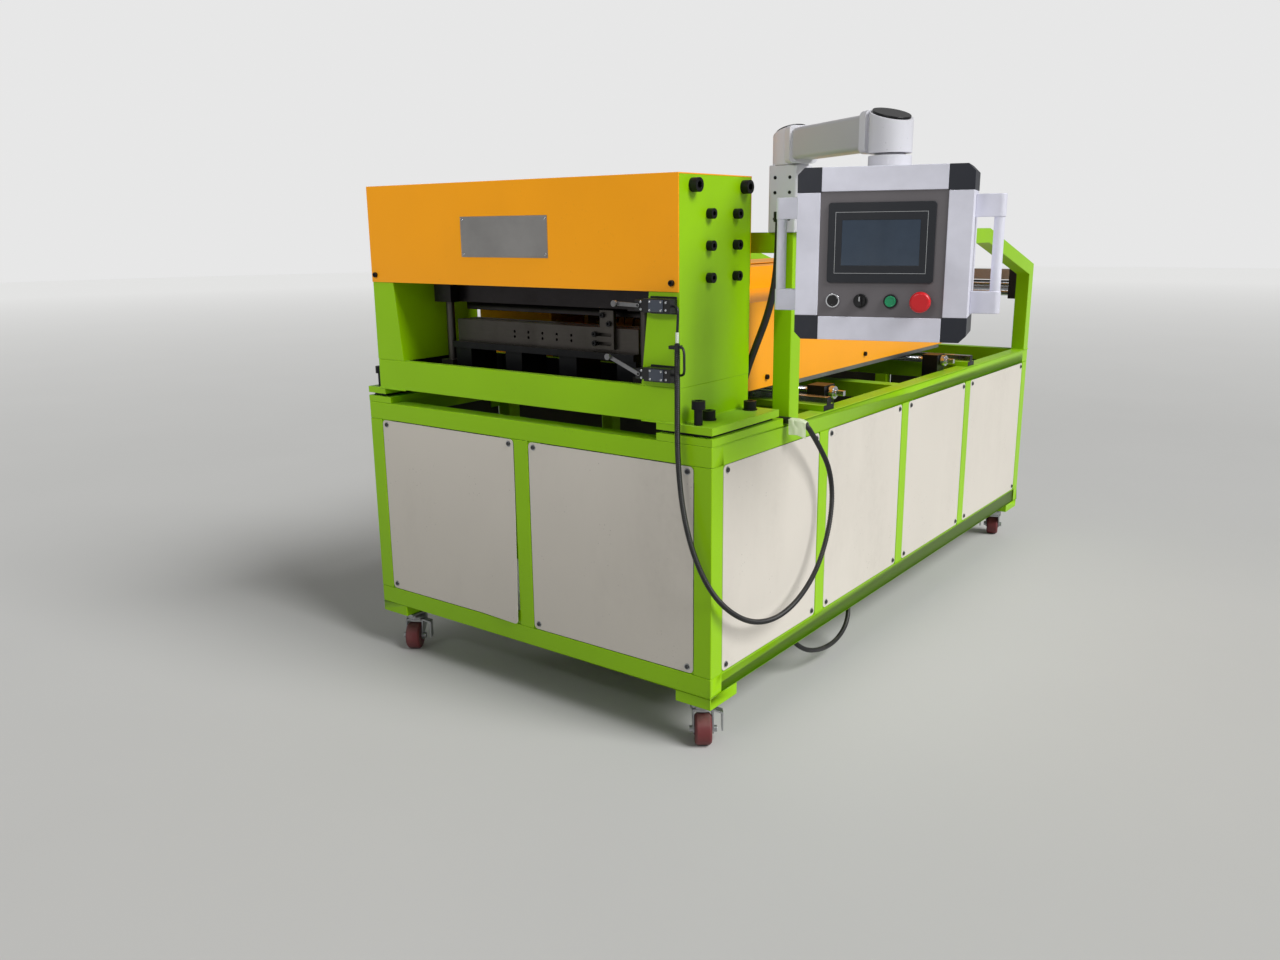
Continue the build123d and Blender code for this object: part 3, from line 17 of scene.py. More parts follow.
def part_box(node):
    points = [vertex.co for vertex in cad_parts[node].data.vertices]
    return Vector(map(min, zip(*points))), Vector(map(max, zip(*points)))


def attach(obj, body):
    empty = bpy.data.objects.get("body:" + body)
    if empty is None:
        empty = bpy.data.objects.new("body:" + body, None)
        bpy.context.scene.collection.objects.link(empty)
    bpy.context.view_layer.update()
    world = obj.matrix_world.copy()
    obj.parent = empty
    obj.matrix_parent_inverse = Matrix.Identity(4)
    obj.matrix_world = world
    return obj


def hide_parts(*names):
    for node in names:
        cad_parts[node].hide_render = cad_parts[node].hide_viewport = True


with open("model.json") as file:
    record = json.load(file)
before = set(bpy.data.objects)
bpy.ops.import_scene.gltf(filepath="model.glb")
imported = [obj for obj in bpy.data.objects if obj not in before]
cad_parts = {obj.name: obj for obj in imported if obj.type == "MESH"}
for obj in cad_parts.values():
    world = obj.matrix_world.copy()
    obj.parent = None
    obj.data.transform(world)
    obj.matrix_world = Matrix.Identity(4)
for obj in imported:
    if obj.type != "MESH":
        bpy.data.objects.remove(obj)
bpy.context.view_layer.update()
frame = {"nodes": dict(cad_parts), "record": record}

# %% [markdown]
# ## Places on the machine
# The drawing counts millimetres from the front left corner of the base, on the floor. The
# loaded model stands with the middle of its footprint on the origin, in metres. One small function
# turns the first into the second, so every number below can be read off the drawing.
# %% Drawing places
mm = 0.001
base_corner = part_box("base_top_frame")[0]


def at(x, y, z):
    """A place on the drawing, in millimetres, as a point of the scene."""
    return Vector((base_corner.x + x * mm, base_corner.y + y * mm, z * mm))


print("base corner", tuple(round(v, 4) for v in at(0, 0, 0)))

# %% [markdown]
# ## Camera
# A picture taken by hand has a yaw, a pitch and a little roll. Euler angles mix these up, so the three
# directions of the camera are worked out first and then put side by side in one matrix, which is
# what Blender stores anyway.
# %% Camera
yaw, pitch, roll = 0.6443, 0.239, -0.0105
forward = Vector((-sin(yaw) * cos(pitch), cos(yaw) * cos(pitch), -sin(pitch)))
level_right = Vector((cos(yaw), sin(yaw), 0))
level_up = level_right.cross(forward)
right = cos(roll) * level_right + sin(roll) * level_up
up = cos(roll) * level_up - sin(roll) * level_right
camera = bpy.data.objects.new("camera", bpy.data.cameras.new("camera"))
camera.data.sensor_width = 36
camera.data.lens = 29.25
camera.data.clip_end = 200
turn = Matrix((right, up, -forward)).transposed().to_4x4()
camera.matrix_world = Matrix.Translation(at(2458.9, -1950.2, 1262.5)) @ turn
bpy.context.scene.collection.objects.link(camera)
bpy.context.scene.camera = camera
print("camera at", tuple(round(v, 3) for v in camera.location))

# %% [markdown]
# ## Cables
# Five cables run over the machine: the sleeve from the switches down to the base, a loop under the
# right rail, the conduit that leaves the arm's bracket, and the thin leads of the two switches. A
# cable has one fixed length and bends smoothly, so each is one NURBS spline through the drawing's
# route. The order is set after the points are added, because before that the spline has none to bend.
# %% Cable routes
cable_routes = {
    "switch_loom_cable": [
        (1119, -22, 986), (1119, -22, 880), (1122, -26, 740), (1138, -29, 620), (1168, -30, 520),
        (1212, -24, 435), (1238, 28, 370), (1248, 120, 318), (1250, 235, 296), (1250, 350, 315),
        (1250, 446, 372), (1249, 505, 462), (1249, 522, 552), (1249, 497, 636), (1250, 436, 702),
        (1254, 388, 742), (1256, 353, 772), (1238, 343, 783), (1214, 343, 783),
    ],
    "under_rail_cable": [
        (1139, 505, 165), (1139, 505, 135), (1152, 519, 104), (1167, 562, 74), (1171, 640, 52),
        (1171, 730, 46), (1168, 804, 68), (1156, 850, 104), (1139, 864, 135), (1139, 864, 165),
    ],
    "arm_conduit_cable": [
        (1177, 326, 1270), (1177, 326, 1200), (1173, 320, 1120), (1155, 318, 1045), (1126, 318, 975),
        (1098, 318, 905), (1082, 318, 850), (1082, 318, 812),
    ],
    "upper_switch_lead": [
        (1104, -16, 1088), (1112, -16, 1088), (1118, -18, 1082), (1120, -20, 1071), (1120, -21, 1054),
        (1119, -22, 1030), (1119, -22, 1006),
    ],
    "lower_switch_lead": [
        (1125, -22, 999), (1133, -22, 999), (1141, -26, 988), (1143, -29, 962), (1138, -21, 941),
        (1124, -9, 931), (1104, -9, 931),
    ],
}


def route_spline(name):
    """A curve with no thickness along one cable's route."""
    curve = bpy.data.curves.new(name, "CURVE")
    curve.dimensions = "3D"
    curve.resolution_u = 12
    spline = curve.splines.new("NURBS")
    route = cable_routes[name]
    spline.points.add(len(route) - 1)
    for point, place in zip(spline.points, route):
        point.co = (*at(*place), 1)
    spline.order_u = 3
    spline.use_endpoint_u = True
    return curve


def link(name, data):
    """Put new mesh or curve data into the scene."""
    piece = bpy.data.objects.new(name, data)
    bpy.context.scene.collection.objects.link(piece)
    return piece


# %% [markdown]
# ## Tubes along a route
# A cable is smooth, but the long one runs in a corrugated sleeve, and a bump texture would leave its
# outline smooth. So the spline's own points are read back, spaced evenly, and given to a fine curve
# whose radius may go up and down from point to point. Converting that curve gives the mesh of a tube,
# ribbed or smooth.
# %% Tubes
def read_points(curve):
    """The points that Blender draws the curve through."""
    holder = link("reader", curve)
    mesh = bpy.data.meshes.new_from_object(holder)
    points = [vertex.co.copy() for vertex in mesh.vertices]
    bpy.data.objects.remove(holder)
    bpy.data.meshes.remove(mesh)
    return points


def evenly(points, step):
    """The same line with its points a fixed step apart."""
    spaced = [points[0]]
    for start, end in zip(points, points[1:]):
        while (end - spaced[-1]).length >= step:
            spaced.append(spaced[-1] + (end - spaced[-1]).normalized() * step)
    return spaced + [points[-1]]


def tube(name, points, radius, valley=1.0, roundness=2):
    """A tube whose radius goes from rib to valley and back at every second point."""
    curve = bpy.data.curves.new(name, "CURVE")
    curve.dimensions = "3D"
    curve.bevel_depth = radius
    curve.bevel_resolution = roundness
    curve.use_fill_caps = True
    spline = curve.splines.new("POLY")
    spline.points.add(len(points) - 1)
    for index, (point, place) in enumerate(zip(spline.points, points)):
        point.co = (*place, 1)
        point.radius = (1.0, 1.0, valley, valley)[index % 4]
    holder = link("tube_curve", curve)
    mesh = bpy.data.meshes.new_from_object(holder)
    bpy.data.objects.remove(holder)
    mesh.shade_smooth()
    return link(name, mesh)


# %% [markdown]
# ## The five cables
# Each cable leaves one fitting and ends in another. Only the sleeve of the switches has ribs, 4.4 mm
# apart.
# %% Cables
def cable_skin(name, ending, diameter, step=3 * mm, valley=1.0, roundness=4):
    """The dressed form of one cable, in place of its measured one."""
    line = read_points(route_spline(name))
    label = name.replace("_cable", "") + ending
    piece = tube(label, evenly(line, step), diameter / 2, valley, roundness)
    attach(piece, "base")
    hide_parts(name)
    return piece


cables = [
    cable_skin("under_rail_cable", "_skin", 0.014),
    cable_skin("arm_conduit_cable", "_skin", 0.018),
    cable_skin("upper_switch_lead", "_skin", 0.006, step=1.5 * mm),
    cable_skin("lower_switch_lead", "_skin", 0.006, step=1.5 * mm),
    cable_skin("switch_loom_cable", "_sleeve", 0.014, step=1.1 * mm, valley=0.84,
               roundness=2),
]
for cable in cables:
    print(cable.name, len(cable.data.polygons), "faces")

# %% [markdown]
# ## Floor and light
# A machine is shown well on a plain pale floor under a large soft light, as in a workshop with roof
# windows. The world gives an even level all round, one wide sun above the right shoulder gives the
# planes their different brightness, and a soft lamp high in front keeps the upper front readable.
# %% Floor and light
floor_mesh = bpy.data.meshes.new("floor")
form = bmesh.new()
bmesh.ops.create_circle(form, cap_ends=True, segments=96, radius=30)
form.to_mesh(floor_mesh)
form.free()
floor = link("floor", floor_mesh)


def lamp(name, kind, energy, source):
    """A lamp that shines from the direction of a source."""
    light = bpy.data.lights.new(name, kind)
    light.energy = energy
    holder = link(name, light)
    holder.rotation_euler = Vector(source).to_track_quat("Z", "Y").to_euler()
    return holder


roof_window = lamp("roof_window", "SUN", 3.0, (4.25, 0.1, 3.7))
roof_window.data.angle = radians(30)
front_window = lamp("front_window", "AREA", 3.0, (0, -2.4, 1.15))
front_window.data.shape = "RECTANGLE"
front_window.data.size = 2.2
front_window.data.size_y = 0.4
front_window.data.spread = radians(45)
front_window.location = (-0.3, -3.6, 2.5)
even_light, pale_backdrop = 0.26, 0.8
world = bpy.data.worlds.new("hall")
bpy.context.scene.world = world
world.use_nodes = True
hall = world.node_tree.nodes["Background"]
hall.inputs["Color"].default_value = (1, 1, 1, 1)
bpy.context.scene.view_settings.view_transform = "Standard"


# %% [markdown]
# ## A short way to write nodes
# A shader tree is easier to read as text when one call adds a node and feeds its sockets. A socket
# that gets a number keeps it, and a socket that gets another node's output is linked to it.
# %% Node helpers
def linear(red, green, blue):
    """A colour of the screen, 0 to 255, as the linear colour that shaders use."""
    parts = [part / 255 for part in (red, green, blue)]
    return (*[p / 12.92 if p <= 0.04045 else ((p + 0.055) / 1.055) ** 2.4 for p in parts], 1)


def feed(tree, socket, value):
    """Link or set one socket."""
    if isinstance(value, bpy.types.NodeSocket):
        tree.links.new(value, socket)
    else:
        socket.default_value = value


def add(tree, kind, **values):
    """A new node whose sockets are fed by name, an underscore standing for a space."""
    node = tree.nodes.new("ShaderNode" + kind)
    for name, value in values.items():
        feed(tree, node.inputs[name.replace("_", " ")], value)
    return node


def compute(tree, operation, *values):
    """The result of a Math node."""
    node = tree.nodes.new("ShaderNodeMath")
    node.operation = operation
    for socket, value in zip(node.inputs, values):
        feed(tree, socket, value)
    return node.outputs[0]


def product(tree, first, *others):
    """All the values multiplied."""
    for value in others:
        first = compute(tree, "MULTIPLY", first, value)
    return first


def vector_math(tree, operation, *values):
    """A Vector Math node, fed from its first socket on."""
    node = tree.nodes.new("ShaderNodeVectorMath")
    node.operation = operation
    for socket, value in zip(node.inputs, values):
        feed(tree, socket, value)
    return node


def spread(tree, value, low, high, start=0.0, end=1.0):
    """The part of a value between low and high, stretched from start to end."""
    node = add(tree, "MapRange")
    for socket, part in zip(node.inputs, (value, low, high, start, end)):
        feed(tree, socket, part)
    return node.outputs[0]


def blend_colors(tree, factor, first, second):
    """Two colours mixed by a factor."""
    node = tree.nodes.new("ShaderNodeMix")
    node.data_type = "RGBA"
    for index, value in zip((0, 6, 7), (factor, first, second)):
        feed(tree, node.inputs[index], value)
    return node.outputs[2]


def noise(tree, vector, scale, detail=3.0, roughness=0.55):
    """A grey cloud pattern."""
    return add(tree, "TexNoise", Vector=vector, Scale=scale, Detail=detail, Roughness=roughness).outputs[0]


def new_group(name, inputs, outputs):
    """An empty node group with named sockets, and its two end nodes."""
    group = bpy.data.node_groups.new(name, "ShaderNodeTree")
    for label, kind, value in inputs:
        socket = group.interface.new_socket(label, in_out="INPUT", socket_type="NodeSocket" + kind)
        socket.default_value = value
    for label, kind in outputs:
        group.interface.new_socket(label, in_out="OUTPUT", socket_type="NodeSocket" + kind)
    return group, group.nodes.new("NodeGroupInput").outputs, group.nodes.new("NodeGroupOutput").inputs


def use(tree, group, **values):
    """A node group placed in a tree."""
    node = tree.nodes.new("ShaderNodeGroup")
    node.node_tree = group
    for name, value in values.items():
        feed(tree, node.inputs[name.replace("_", " ")], value)
    return node.outputs


# %% [markdown]
# ## Effects that many finishes share
# Large painted sheets are never one tone: the spray was thicker here, a hand rubbed there, and dust
# lies on what faces up. Each effect is one node group, so that green, orange and white paint all
# age in the same way and only their amounts differ.
# %% Uneven tone
mottle, given, made = new_group(
    "mottle", [("Color", "Color", (1, 1, 1, 1)), ("Scale", "Float", 2.0), ("Amount", "Float", 0.06)],
    [("Color", "Color")])
place = add(mottle, "TexCoord").outputs["Object"]
cloud = spread(mottle, noise(mottle, place, given["Scale"], 4), 0.3, 0.7, -1, 1)
scaled = vector_math(mottle, "SCALE", given["Color"])
feed(mottle, scaled.inputs["Scale"], compute(mottle, "ADD", product(mottle, cloud, given["Amount"]), 1.0))
feed(mottle, made["Color"], scaled.outputs[0])

# %% Dust on what faces up
dust, given, made = new_group(
    "dust", [("Amount", "Float", 0.4), ("Scale", "Float", 7.0)], [("Mask", "Float")])
facing = add(dust, "SeparateXYZ", Vector=add(dust, "NewGeometry").outputs["Normal"]).outputs["Z"]
flat = spread(dust, facing, 0.5, 0.98)
place = add(dust, "TexCoord").outputs["Object"]
patches = spread(dust, noise(dust, place, given["Scale"], 6, 0.7), 0.35, 0.75)
feed(dust, made["Mask"], product(dust, flat, patches, given["Amount"]))

# %% Worn edges
edges, given, made = new_group(
    "worn_edges", [("Width", "Float", 0.002), ("Amount", "Float", 0.5), ("Scale", "Float", 45.0)],
    [("Mask", "Float")])
rounded = tuple(add(edges, "Bevel", Radius=given["Width"]).outputs)[0]
sharp = add(edges, "NewGeometry").outputs["Normal"]
turned = spread(edges, vector_math(edges, "DOT_PRODUCT", rounded, sharp).outputs["Value"], 0.97, 0.8)
place = add(edges, "TexCoord").outputs["Object"]
chips = spread(edges, noise(edges, place, given["Scale"], 5, 0.7), 0.52, 0.6)
feed(edges, made["Mask"], product(edges, turned, chips, given["Amount"]))

# %% Rubbed and smeared patches
smears, given, made = new_group(
    "smears", [("Scale", "Float", 3.0), ("Amount", "Float", 0.5)], [("Mask", "Float")])
place = add(smears, "TexCoord").outputs["Object"]
stretch = smears.nodes.new("ShaderNodeMapping")
feed(smears, stretch.inputs["Vector"], place)
stretch.inputs["Scale"].default_value = (1.0, 1.0, 0.35)
wide = spread(smears, noise(smears, stretch.outputs[0], given["Scale"], 5, 0.65), 0.5, 0.72)
fine = spread(smears, noise(smears, place, 55.0, 3), 0.3, 0.7, 0.4, 1)
feed(smears, made["Mask"], product(smears, wide, fine, given["Amount"]))

# %% Specks of dirt
specks, given, made = new_group(
    "specks", [("Scale", "Float", 90.0), ("Amount", "Float", 0.6)], [("Mask", "Float")])
place = add(specks, "TexCoord").outputs["Object"]
cells = add(specks, "TexVoronoi", Vector=place, Scale=given["Scale"], Randomness=1.0).outputs["Distance"]
spots = spread(specks, cells, 0.16, 0.1)
sparse = spread(specks, noise(specks, place, 11.0, 2), 0.56, 0.66)
feed(specks, made["Mask"], product(specks, spots, sparse, given["Amount"]))

# %% Sprayed surface
peel, given, made = new_group("sprayed_surface", [("Scale", "Float", 260.0)], [("Height", "Float")])
place = add(peel, "TexCoord").outputs["Object"]
feed(peel, made["Height"], noise(peel, place, given["Scale"], 2, 0.5))

# %% Drawn or ground grain
grain, given, made = new_group(
    "grain", [("Stretch", "Vector", (1.0, 40.0, 40.0)), ("Scale", "Float", 30.0)], [("Value", "Float")])
place = add(grain, "TexCoord").outputs["Object"]
drawn = vector_math(grain, "MULTIPLY", place, given["Stretch"])
feed(grain, made["Value"], noise(grain, drawn.outputs[0], given["Scale"], 4, 0.6))
print("effects", [group.name for group in bpy.data.node_groups])


# %% [markdown]
# ## Paint
# The machine was sprayed with thick enamel over steel. The colour sits in the Principled shader's
# base, the mottle keeps it from looking printed, edges show the grey primer where they were knocked,
# and a very small bump gives the orange-peel reflection of sprayed paint.
# %% Paint
def start_material(name):
    """A new material with its tree and its shader."""
    material = bpy.data.materials.new(name)
    material.use_nodes = True
    return material, material.node_tree, material.node_tree.nodes["Principled BSDF"]


def paint(name, color, roughness=0.34, wear=0.5, dirt=0.3, tone=0.06, primer=(120, 118, 112)):
    """Sprayed enamel with knocked edges, dust, smears and specks."""
    material, tree, shader = start_material(name)
    coat = use(tree, mottle, Color=linear(*color), Scale=1.7, Amount=tone)["Color"]
    worn = use(tree, edges, Width=0.0022, Amount=wear)["Mask"]
    dirty = use(tree, smears, Scale=2.3, Amount=dirt)["Mask"]
    dusty = use(tree, dust, Amount=dirt)["Mask"]
    spotted = use(tree, specks, Amount=dirt)["Mask"]
    coat = blend_colors(tree, product(tree, dirty, 0.35), coat, linear(92, 84, 70))
    coat = blend_colors(tree, spotted, coat, linear(58, 52, 44))
    coat = blend_colors(tree, dusty, coat, linear(176, 170, 156))
    coat = blend_colors(tree, worn, coat, linear(*primer))
    feed(tree, shader.inputs["Base Color"], coat)
    dull = compute(tree, "ADD", product(tree, dirty, 0.25), product(tree, dusty, 0.4))
    feed(tree, shader.inputs["Roughness"], compute(tree, "ADD", dull, roughness))
    height = use(tree, peel, Scale=240.0)["Height"]
    bump = add(tree, "Bump", Strength=0.12, Distance=0.0006, Height=height)
    feed(tree, shader.inputs["Normal"], bump.outputs[0])
    shader.inputs["Specular IOR Level"].default_value = 0.24
    shader.inputs["Coat Weight"].default_value = 0.06
    shader.inputs["Coat Roughness"].default_value = 0.12
    return material


green = paint("green_enamel", (147, 201, 0), wear=0.55, dirt=0.2)
orange = paint("orange_enamel", (255, 168, 14), wear=0.35, dirt=0.12)
white = paint("white_enamel", (214, 208, 198), roughness=0.4, wear=0.3, dirt=0.35, tone=0.03)
# A near-black paint for the sheets' inner faces: painted shade for the shadowed inside of the base.
painted_shade_back = paint("painted_shade_back", (66, 63, 60), roughness=0.6, wear=0.2, dirt=0.4)
motor_blue = paint("motor_enamel", (52, 62, 74), roughness=0.45, wear=0.6, dirt=0.6)
arm_tube = paint("arm_tube_coat", (188, 187, 190), roughness=0.46, wear=0.2, dirt=0.15, tone=0.03)
arm_grey = paint("arm_powder_coat", (213, 213, 219), roughness=0.42, wear=0.2, dirt=0.15, tone=0.03)


# %% [markdown]
# ## Bare and blackened metal
# Ground, drawn and plated parts differ mostly in how rough they are and which way their scratches
# run. The grain group gives the scratches: it moves the roughness up and down and feeds a bump, which
# spreads the reflection across the grain as on the real parts.
# %% Metal
def metal(name, color, roughness, stretch=(1.0, 40.0, 40.0), stain=0.3, oil=(40, 34, 28), full=1.0):
    """Bare metal with a grain, stains and dust."""
    material, tree, shader = start_material(name)
    lines = use(tree, grain, Stretch=stretch, Scale=26.0)["Value"]
    shade = use(tree, mottle, Color=linear(*color), Scale=9.0, Amount=0.1)["Color"]
    stained = use(tree, smears, Scale=8.0, Amount=stain)["Mask"]
    dusty = use(tree, dust, Amount=stain * 0.7, Scale=14.0)["Mask"]
    shade = blend_colors(tree, stained, shade, linear(*oil))
    shade = blend_colors(tree, dusty, shade, linear(150, 144, 132))
    feed(tree, shader.inputs["Base Color"], shade)
    rough = spread(tree, lines, 0.3, 0.7, roughness * 0.75, roughness * 1.3)
    rough = compute(tree, "ADD", rough, product(tree, dusty, 0.4))
    feed(tree, shader.inputs["Roughness"], rough)
    feed(tree, shader.inputs["Metallic"], spread(tree, dusty, 0, 1, full, 0))
    bump = add(tree, "Bump", Strength=0.15, Distance=0.0003, Height=lines)
    feed(tree, shader.inputs["Normal"], bump.outputs[0])
    return material


zinc = metal("zinc_plate", (176, 178, 180), 0.38, stretch=(1.0, 1.0, 1.0), stain=0.35)
black_oxide = metal("black_oxide", (24, 24, 27), 0.42, stretch=(1, 1, 1), stain=0.2, full=0.6)
tool_steel = metal("oiled_tool_steel", (56, 53, 54), 0.34, stretch=(1.0, 30.0, 30.0), stain=0.5)
bright = metal("ground_steel", (198, 200, 203), 0.2, stretch=(1.0, 30.0, 1.0), stain=0.18)
row_steel = metal("machined_steel", (150, 150, 152), 0.36, stretch=(6.0, 30.0, 30.0), stain=0.4)
panel_metal = metal("satin_aluminium", (222, 222, 234), 0.5, stretch=(30.0, 30.0, 1.0), stain=0.05,
                    full=0.12)
die_steel = metal("die_bar_steel", (86, 82, 78), 0.42, stretch=(1.0, 30.0, 30.0), stain=0.35)
dark_zinc = metal("dark_screws", (92, 92, 94), 0.45, stretch=(1.0, 1.0, 1.0), stain=0.4)
plate_metal = metal("brushed_plate", (168, 166, 164), 0.4, stretch=(1.0, 40.0, 40.0), stain=0.15)
chrome = metal("chrome_ring", (214, 215, 218), 0.12, stretch=(1.0, 1.0, 1.0), stain=0.04)


# %% [markdown]
# ## Plastic, rubber and glass
# Moulded parts have a fine even texture instead of a grain. Rubber and the sleeve are nearly black,
# but dust makes them grey on top, which is what tells the eye that they are rubber.
# %% Plastic and rubber
def moulded(name, color, roughness, texture=900.0, depth=0.12, dirt=0.2, tone=0.05):
    """Moulded plastic or rubber with a fine texture and dust."""
    material, tree, shader = start_material(name)
    shade = use(tree, mottle, Color=linear(*color), Scale=14.0, Amount=tone)["Color"]
    dusty = use(tree, dust, Amount=dirt, Scale=22.0)["Mask"]
    rubbed = use(tree, smears, Scale=12.0, Amount=dirt)["Mask"]
    shade = blend_colors(tree, dusty, shade, linear(128, 122, 112))
    shade = blend_colors(tree, product(tree, rubbed, 0.3), shade, linear(140, 136, 128))
    feed(tree, shader.inputs["Base Color"], shade)
    rough = compute(tree, "ADD", product(tree, rubbed, 0.2), roughness)
    feed(tree, shader.inputs["Roughness"], rough)
    height = use(tree, peel, Scale=texture)["Height"]
    bump = add(tree, "Bump", Strength=depth, Distance=0.0003, Height=height)
    feed(tree, shader.inputs["Normal"], bump.outputs[0])
    return material


dark_plastic = moulded("dark_corner_plastic", (31, 34, 44), 0.45, dirt=0.15)
face_paint = moulded("textured_face", (104, 100, 103), 0.5, texture=1400.0, depth=0.3, dirt=0.1)
bezel_plastic = moulded("bezel_plastic", (27, 30, 37), 0.4, dirt=0.06)
black_plastic = moulded("black_plastic", (18, 18, 20), 0.35, dirt=0.12)
green_plastic = moulded("green_plastic", (24, 140, 92), 0.3, dirt=0.05)
red_plastic = moulded("red_plastic", (206, 26, 34), 0.3, dirt=0.05)
rubber = moulded("sleeve_rubber", (20, 20, 22), 0.42, dirt=0.3)
tread = moulded("red_tread", (108, 42, 44), 0.55, texture=500.0, dirt=0.5, tone=0.15)
wheel_core = moulded("wheel_core", (88, 26, 31), 0.5, dirt=0.5, tone=0.12)
ferrule_plastic = moulded("pale_ferrule", (206, 214, 196), 0.5, dirt=0.2)
pale_tape = moulded("pale_tape", (214, 222, 190), 0.6, texture=400.0, depth=0.4, dirt=0.15)
gloss_black = moulded("gloss_cap", (12, 12, 14), 0.24, texture=200.0, depth=0.02, dirt=0.05)
switch_lid = moulded("switch_lid", (66, 72, 84), 0.4, dirt=0.2)
line_white = moulded("printed_line", (196, 198, 200), 0.4, depth=0.02, dirt=0.05)
screen_finish = moulded("display_glass", (57, 69, 84), 0.12, texture=8.0, depth=0.0, dirt=0.1, tone=0.12)

# %% [markdown]
# ## The floor's finish
# Sealed concrete is pale, faintly cloudy and dull. It only has to carry the machine's shadow, so its
# pattern stays weak, and far from the machine it fades to the tone of the background.
# %% Floor finish
floor_finish, tree, shader = start_material("sealed_concrete")
place = add(tree, "TexCoord").outputs["Object"]
far_away = spread(tree, vector_math(tree, "LENGTH", place).outputs["Value"], 4, 22)
cloudy = use(tree, mottle, Color=linear(198, 198, 196), Scale=0.9, Amount=0.012)["Color"]
feed(tree, shader.inputs["Base Color"], blend_colors(tree, far_away, cloudy, linear(244, 244, 243)))
shader.inputs["Roughness"].default_value = 0.8
shader.inputs["Specular IOR Level"].default_value = 0.2
floor.data.materials.append(floor_finish)
hall_ray = world.node_tree.nodes.new("ShaderNodeLightPath")
seen = hall_ray.outputs["Is Camera Ray"]
strength = spread(world.node_tree, seen, 0, 1, even_light, pale_backdrop)
feed(world.node_tree, hall.inputs["Strength"], strength)


# %% [markdown]
# ## Rounded edges
# No tube or plate has a perfectly sharp edge, and a thin bright line along each edge is most of what
# makes a machine look solid. The measured model is loose triangles with sharp edges, so a copy of
# each node is merged, its flat triangles are dissolved into whole faces, and its outer edges are
# beveled. The copy then stands for the node and rides on the same body. The faces inside the lower
# beam's trough and the inner faces of the sheets take a second, dark finish as painted shade.
# %% Rounded copies of the measured pieces
def merged(node):
    """The node's triangles as one clean bmesh."""
    form = bmesh.new()
    form.from_mesh(frame["nodes"][node].data)
    bmesh.ops.remove_doubles(form, verts=form.verts, dist=1e-6)
    bmesh.ops.dissolve_limit(form, angle_limit=radians(0.4), verts=form.verts, edges=form.edges)
    return form


def round_edges(form, width, segments=2, turn=30):
    """Bevel every outer edge that turns by more than some degrees."""
    outer = [edge for edge in form.edges
             if edge.is_manifold and edge.is_convex and edge.calc_face_angle() > radians(turn)]
    bmesh.ops.bevel(form, geom=outer, offset=width, offset_type="OFFSET", segments=segments, profile=0.5,
                    affect="EDGES", clamp_overlap=True, material=-1)


def finish_piece(form, name, finishes, body, smooth=35):
    """Turn a bmesh into a shaded piece that rides on a body."""
    mesh = bpy.data.meshes.new(name)
    form.to_mesh(mesh)
    form.free()
    mesh.shade_smooth()
    mesh.set_sharp_from_angle(angle=radians(smooth))
    for finish in finishes:
        mesh.materials.append(finish)
    piece = link(name, mesh)
    flatter = piece.modifiers.new("flat_faces", "WEIGHTED_NORMAL")
    flatter.keep_sharp = True
    flatter.weight = 100
    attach(piece, body)
    return piece


body_of_node = {}
for body, members in frame["record"]["behaviour"]["bodies"].items():
    for member in members:
        body_of_node[member] = body


def dressed(node, slot, width, *finishes, choose=None, segments=2):
    """A rounded copy of a node. choose gives each face's finish from the middle of the face."""
    form = merged(node)
    round_edges(form, width, segments)
    if choose:
        for face in form.faces:
            face.material_index = choose(face.calc_center_median())
    piece = finish_piece(form, node + "_rounded", finishes, body_of_node[node])
    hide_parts(node)
    return piece


def level(value):
    """A height on the drawing as a height in the scene."""
    return value * mm


def within(low, high):
    """A chooser that takes the second finish inside a box of the drawing."""
    low, high = at(*low), at(*high)
    return lambda place: int(all(low[axis] < place[axis] < high[axis] for axis in range(3)))


structure = ("base_top_frame", "base_bottom_frame", "base_uprights", "portal_frame", "guard_right",
             "guard_left")
for node in structure:
    dressed(node, "green_paint", 2.2 * mm, green)
# Black steel on the faces inside the lower beam's trough is painted shade for the dark mouth of the portal.
dressed("portal_lower_beam", "green_paint", 2.2 * mm, green, black_oxide,
        choose=within((150, 10, 830), (1014, 296, 899)))
dressed("portal_feet", "green_paint", 1.2 * mm, green, black_oxide,
        choose=lambda place: 1 if level(790.5) < place.z < level(797.5) else 0)
for node in ("portal_covers", "left_hood", "right_hood"):
    dressed(node, "orange_paint", 0.8 * mm, orange)
# The sheets' inner faces take the near-black paint as painted shade for the inside of the base.
dressed("cover_panels", "white_paint", 0.6 * mm, white, painted_shade_back,
        choose=within((2, 2, 0), (1198, 2318, 900)))

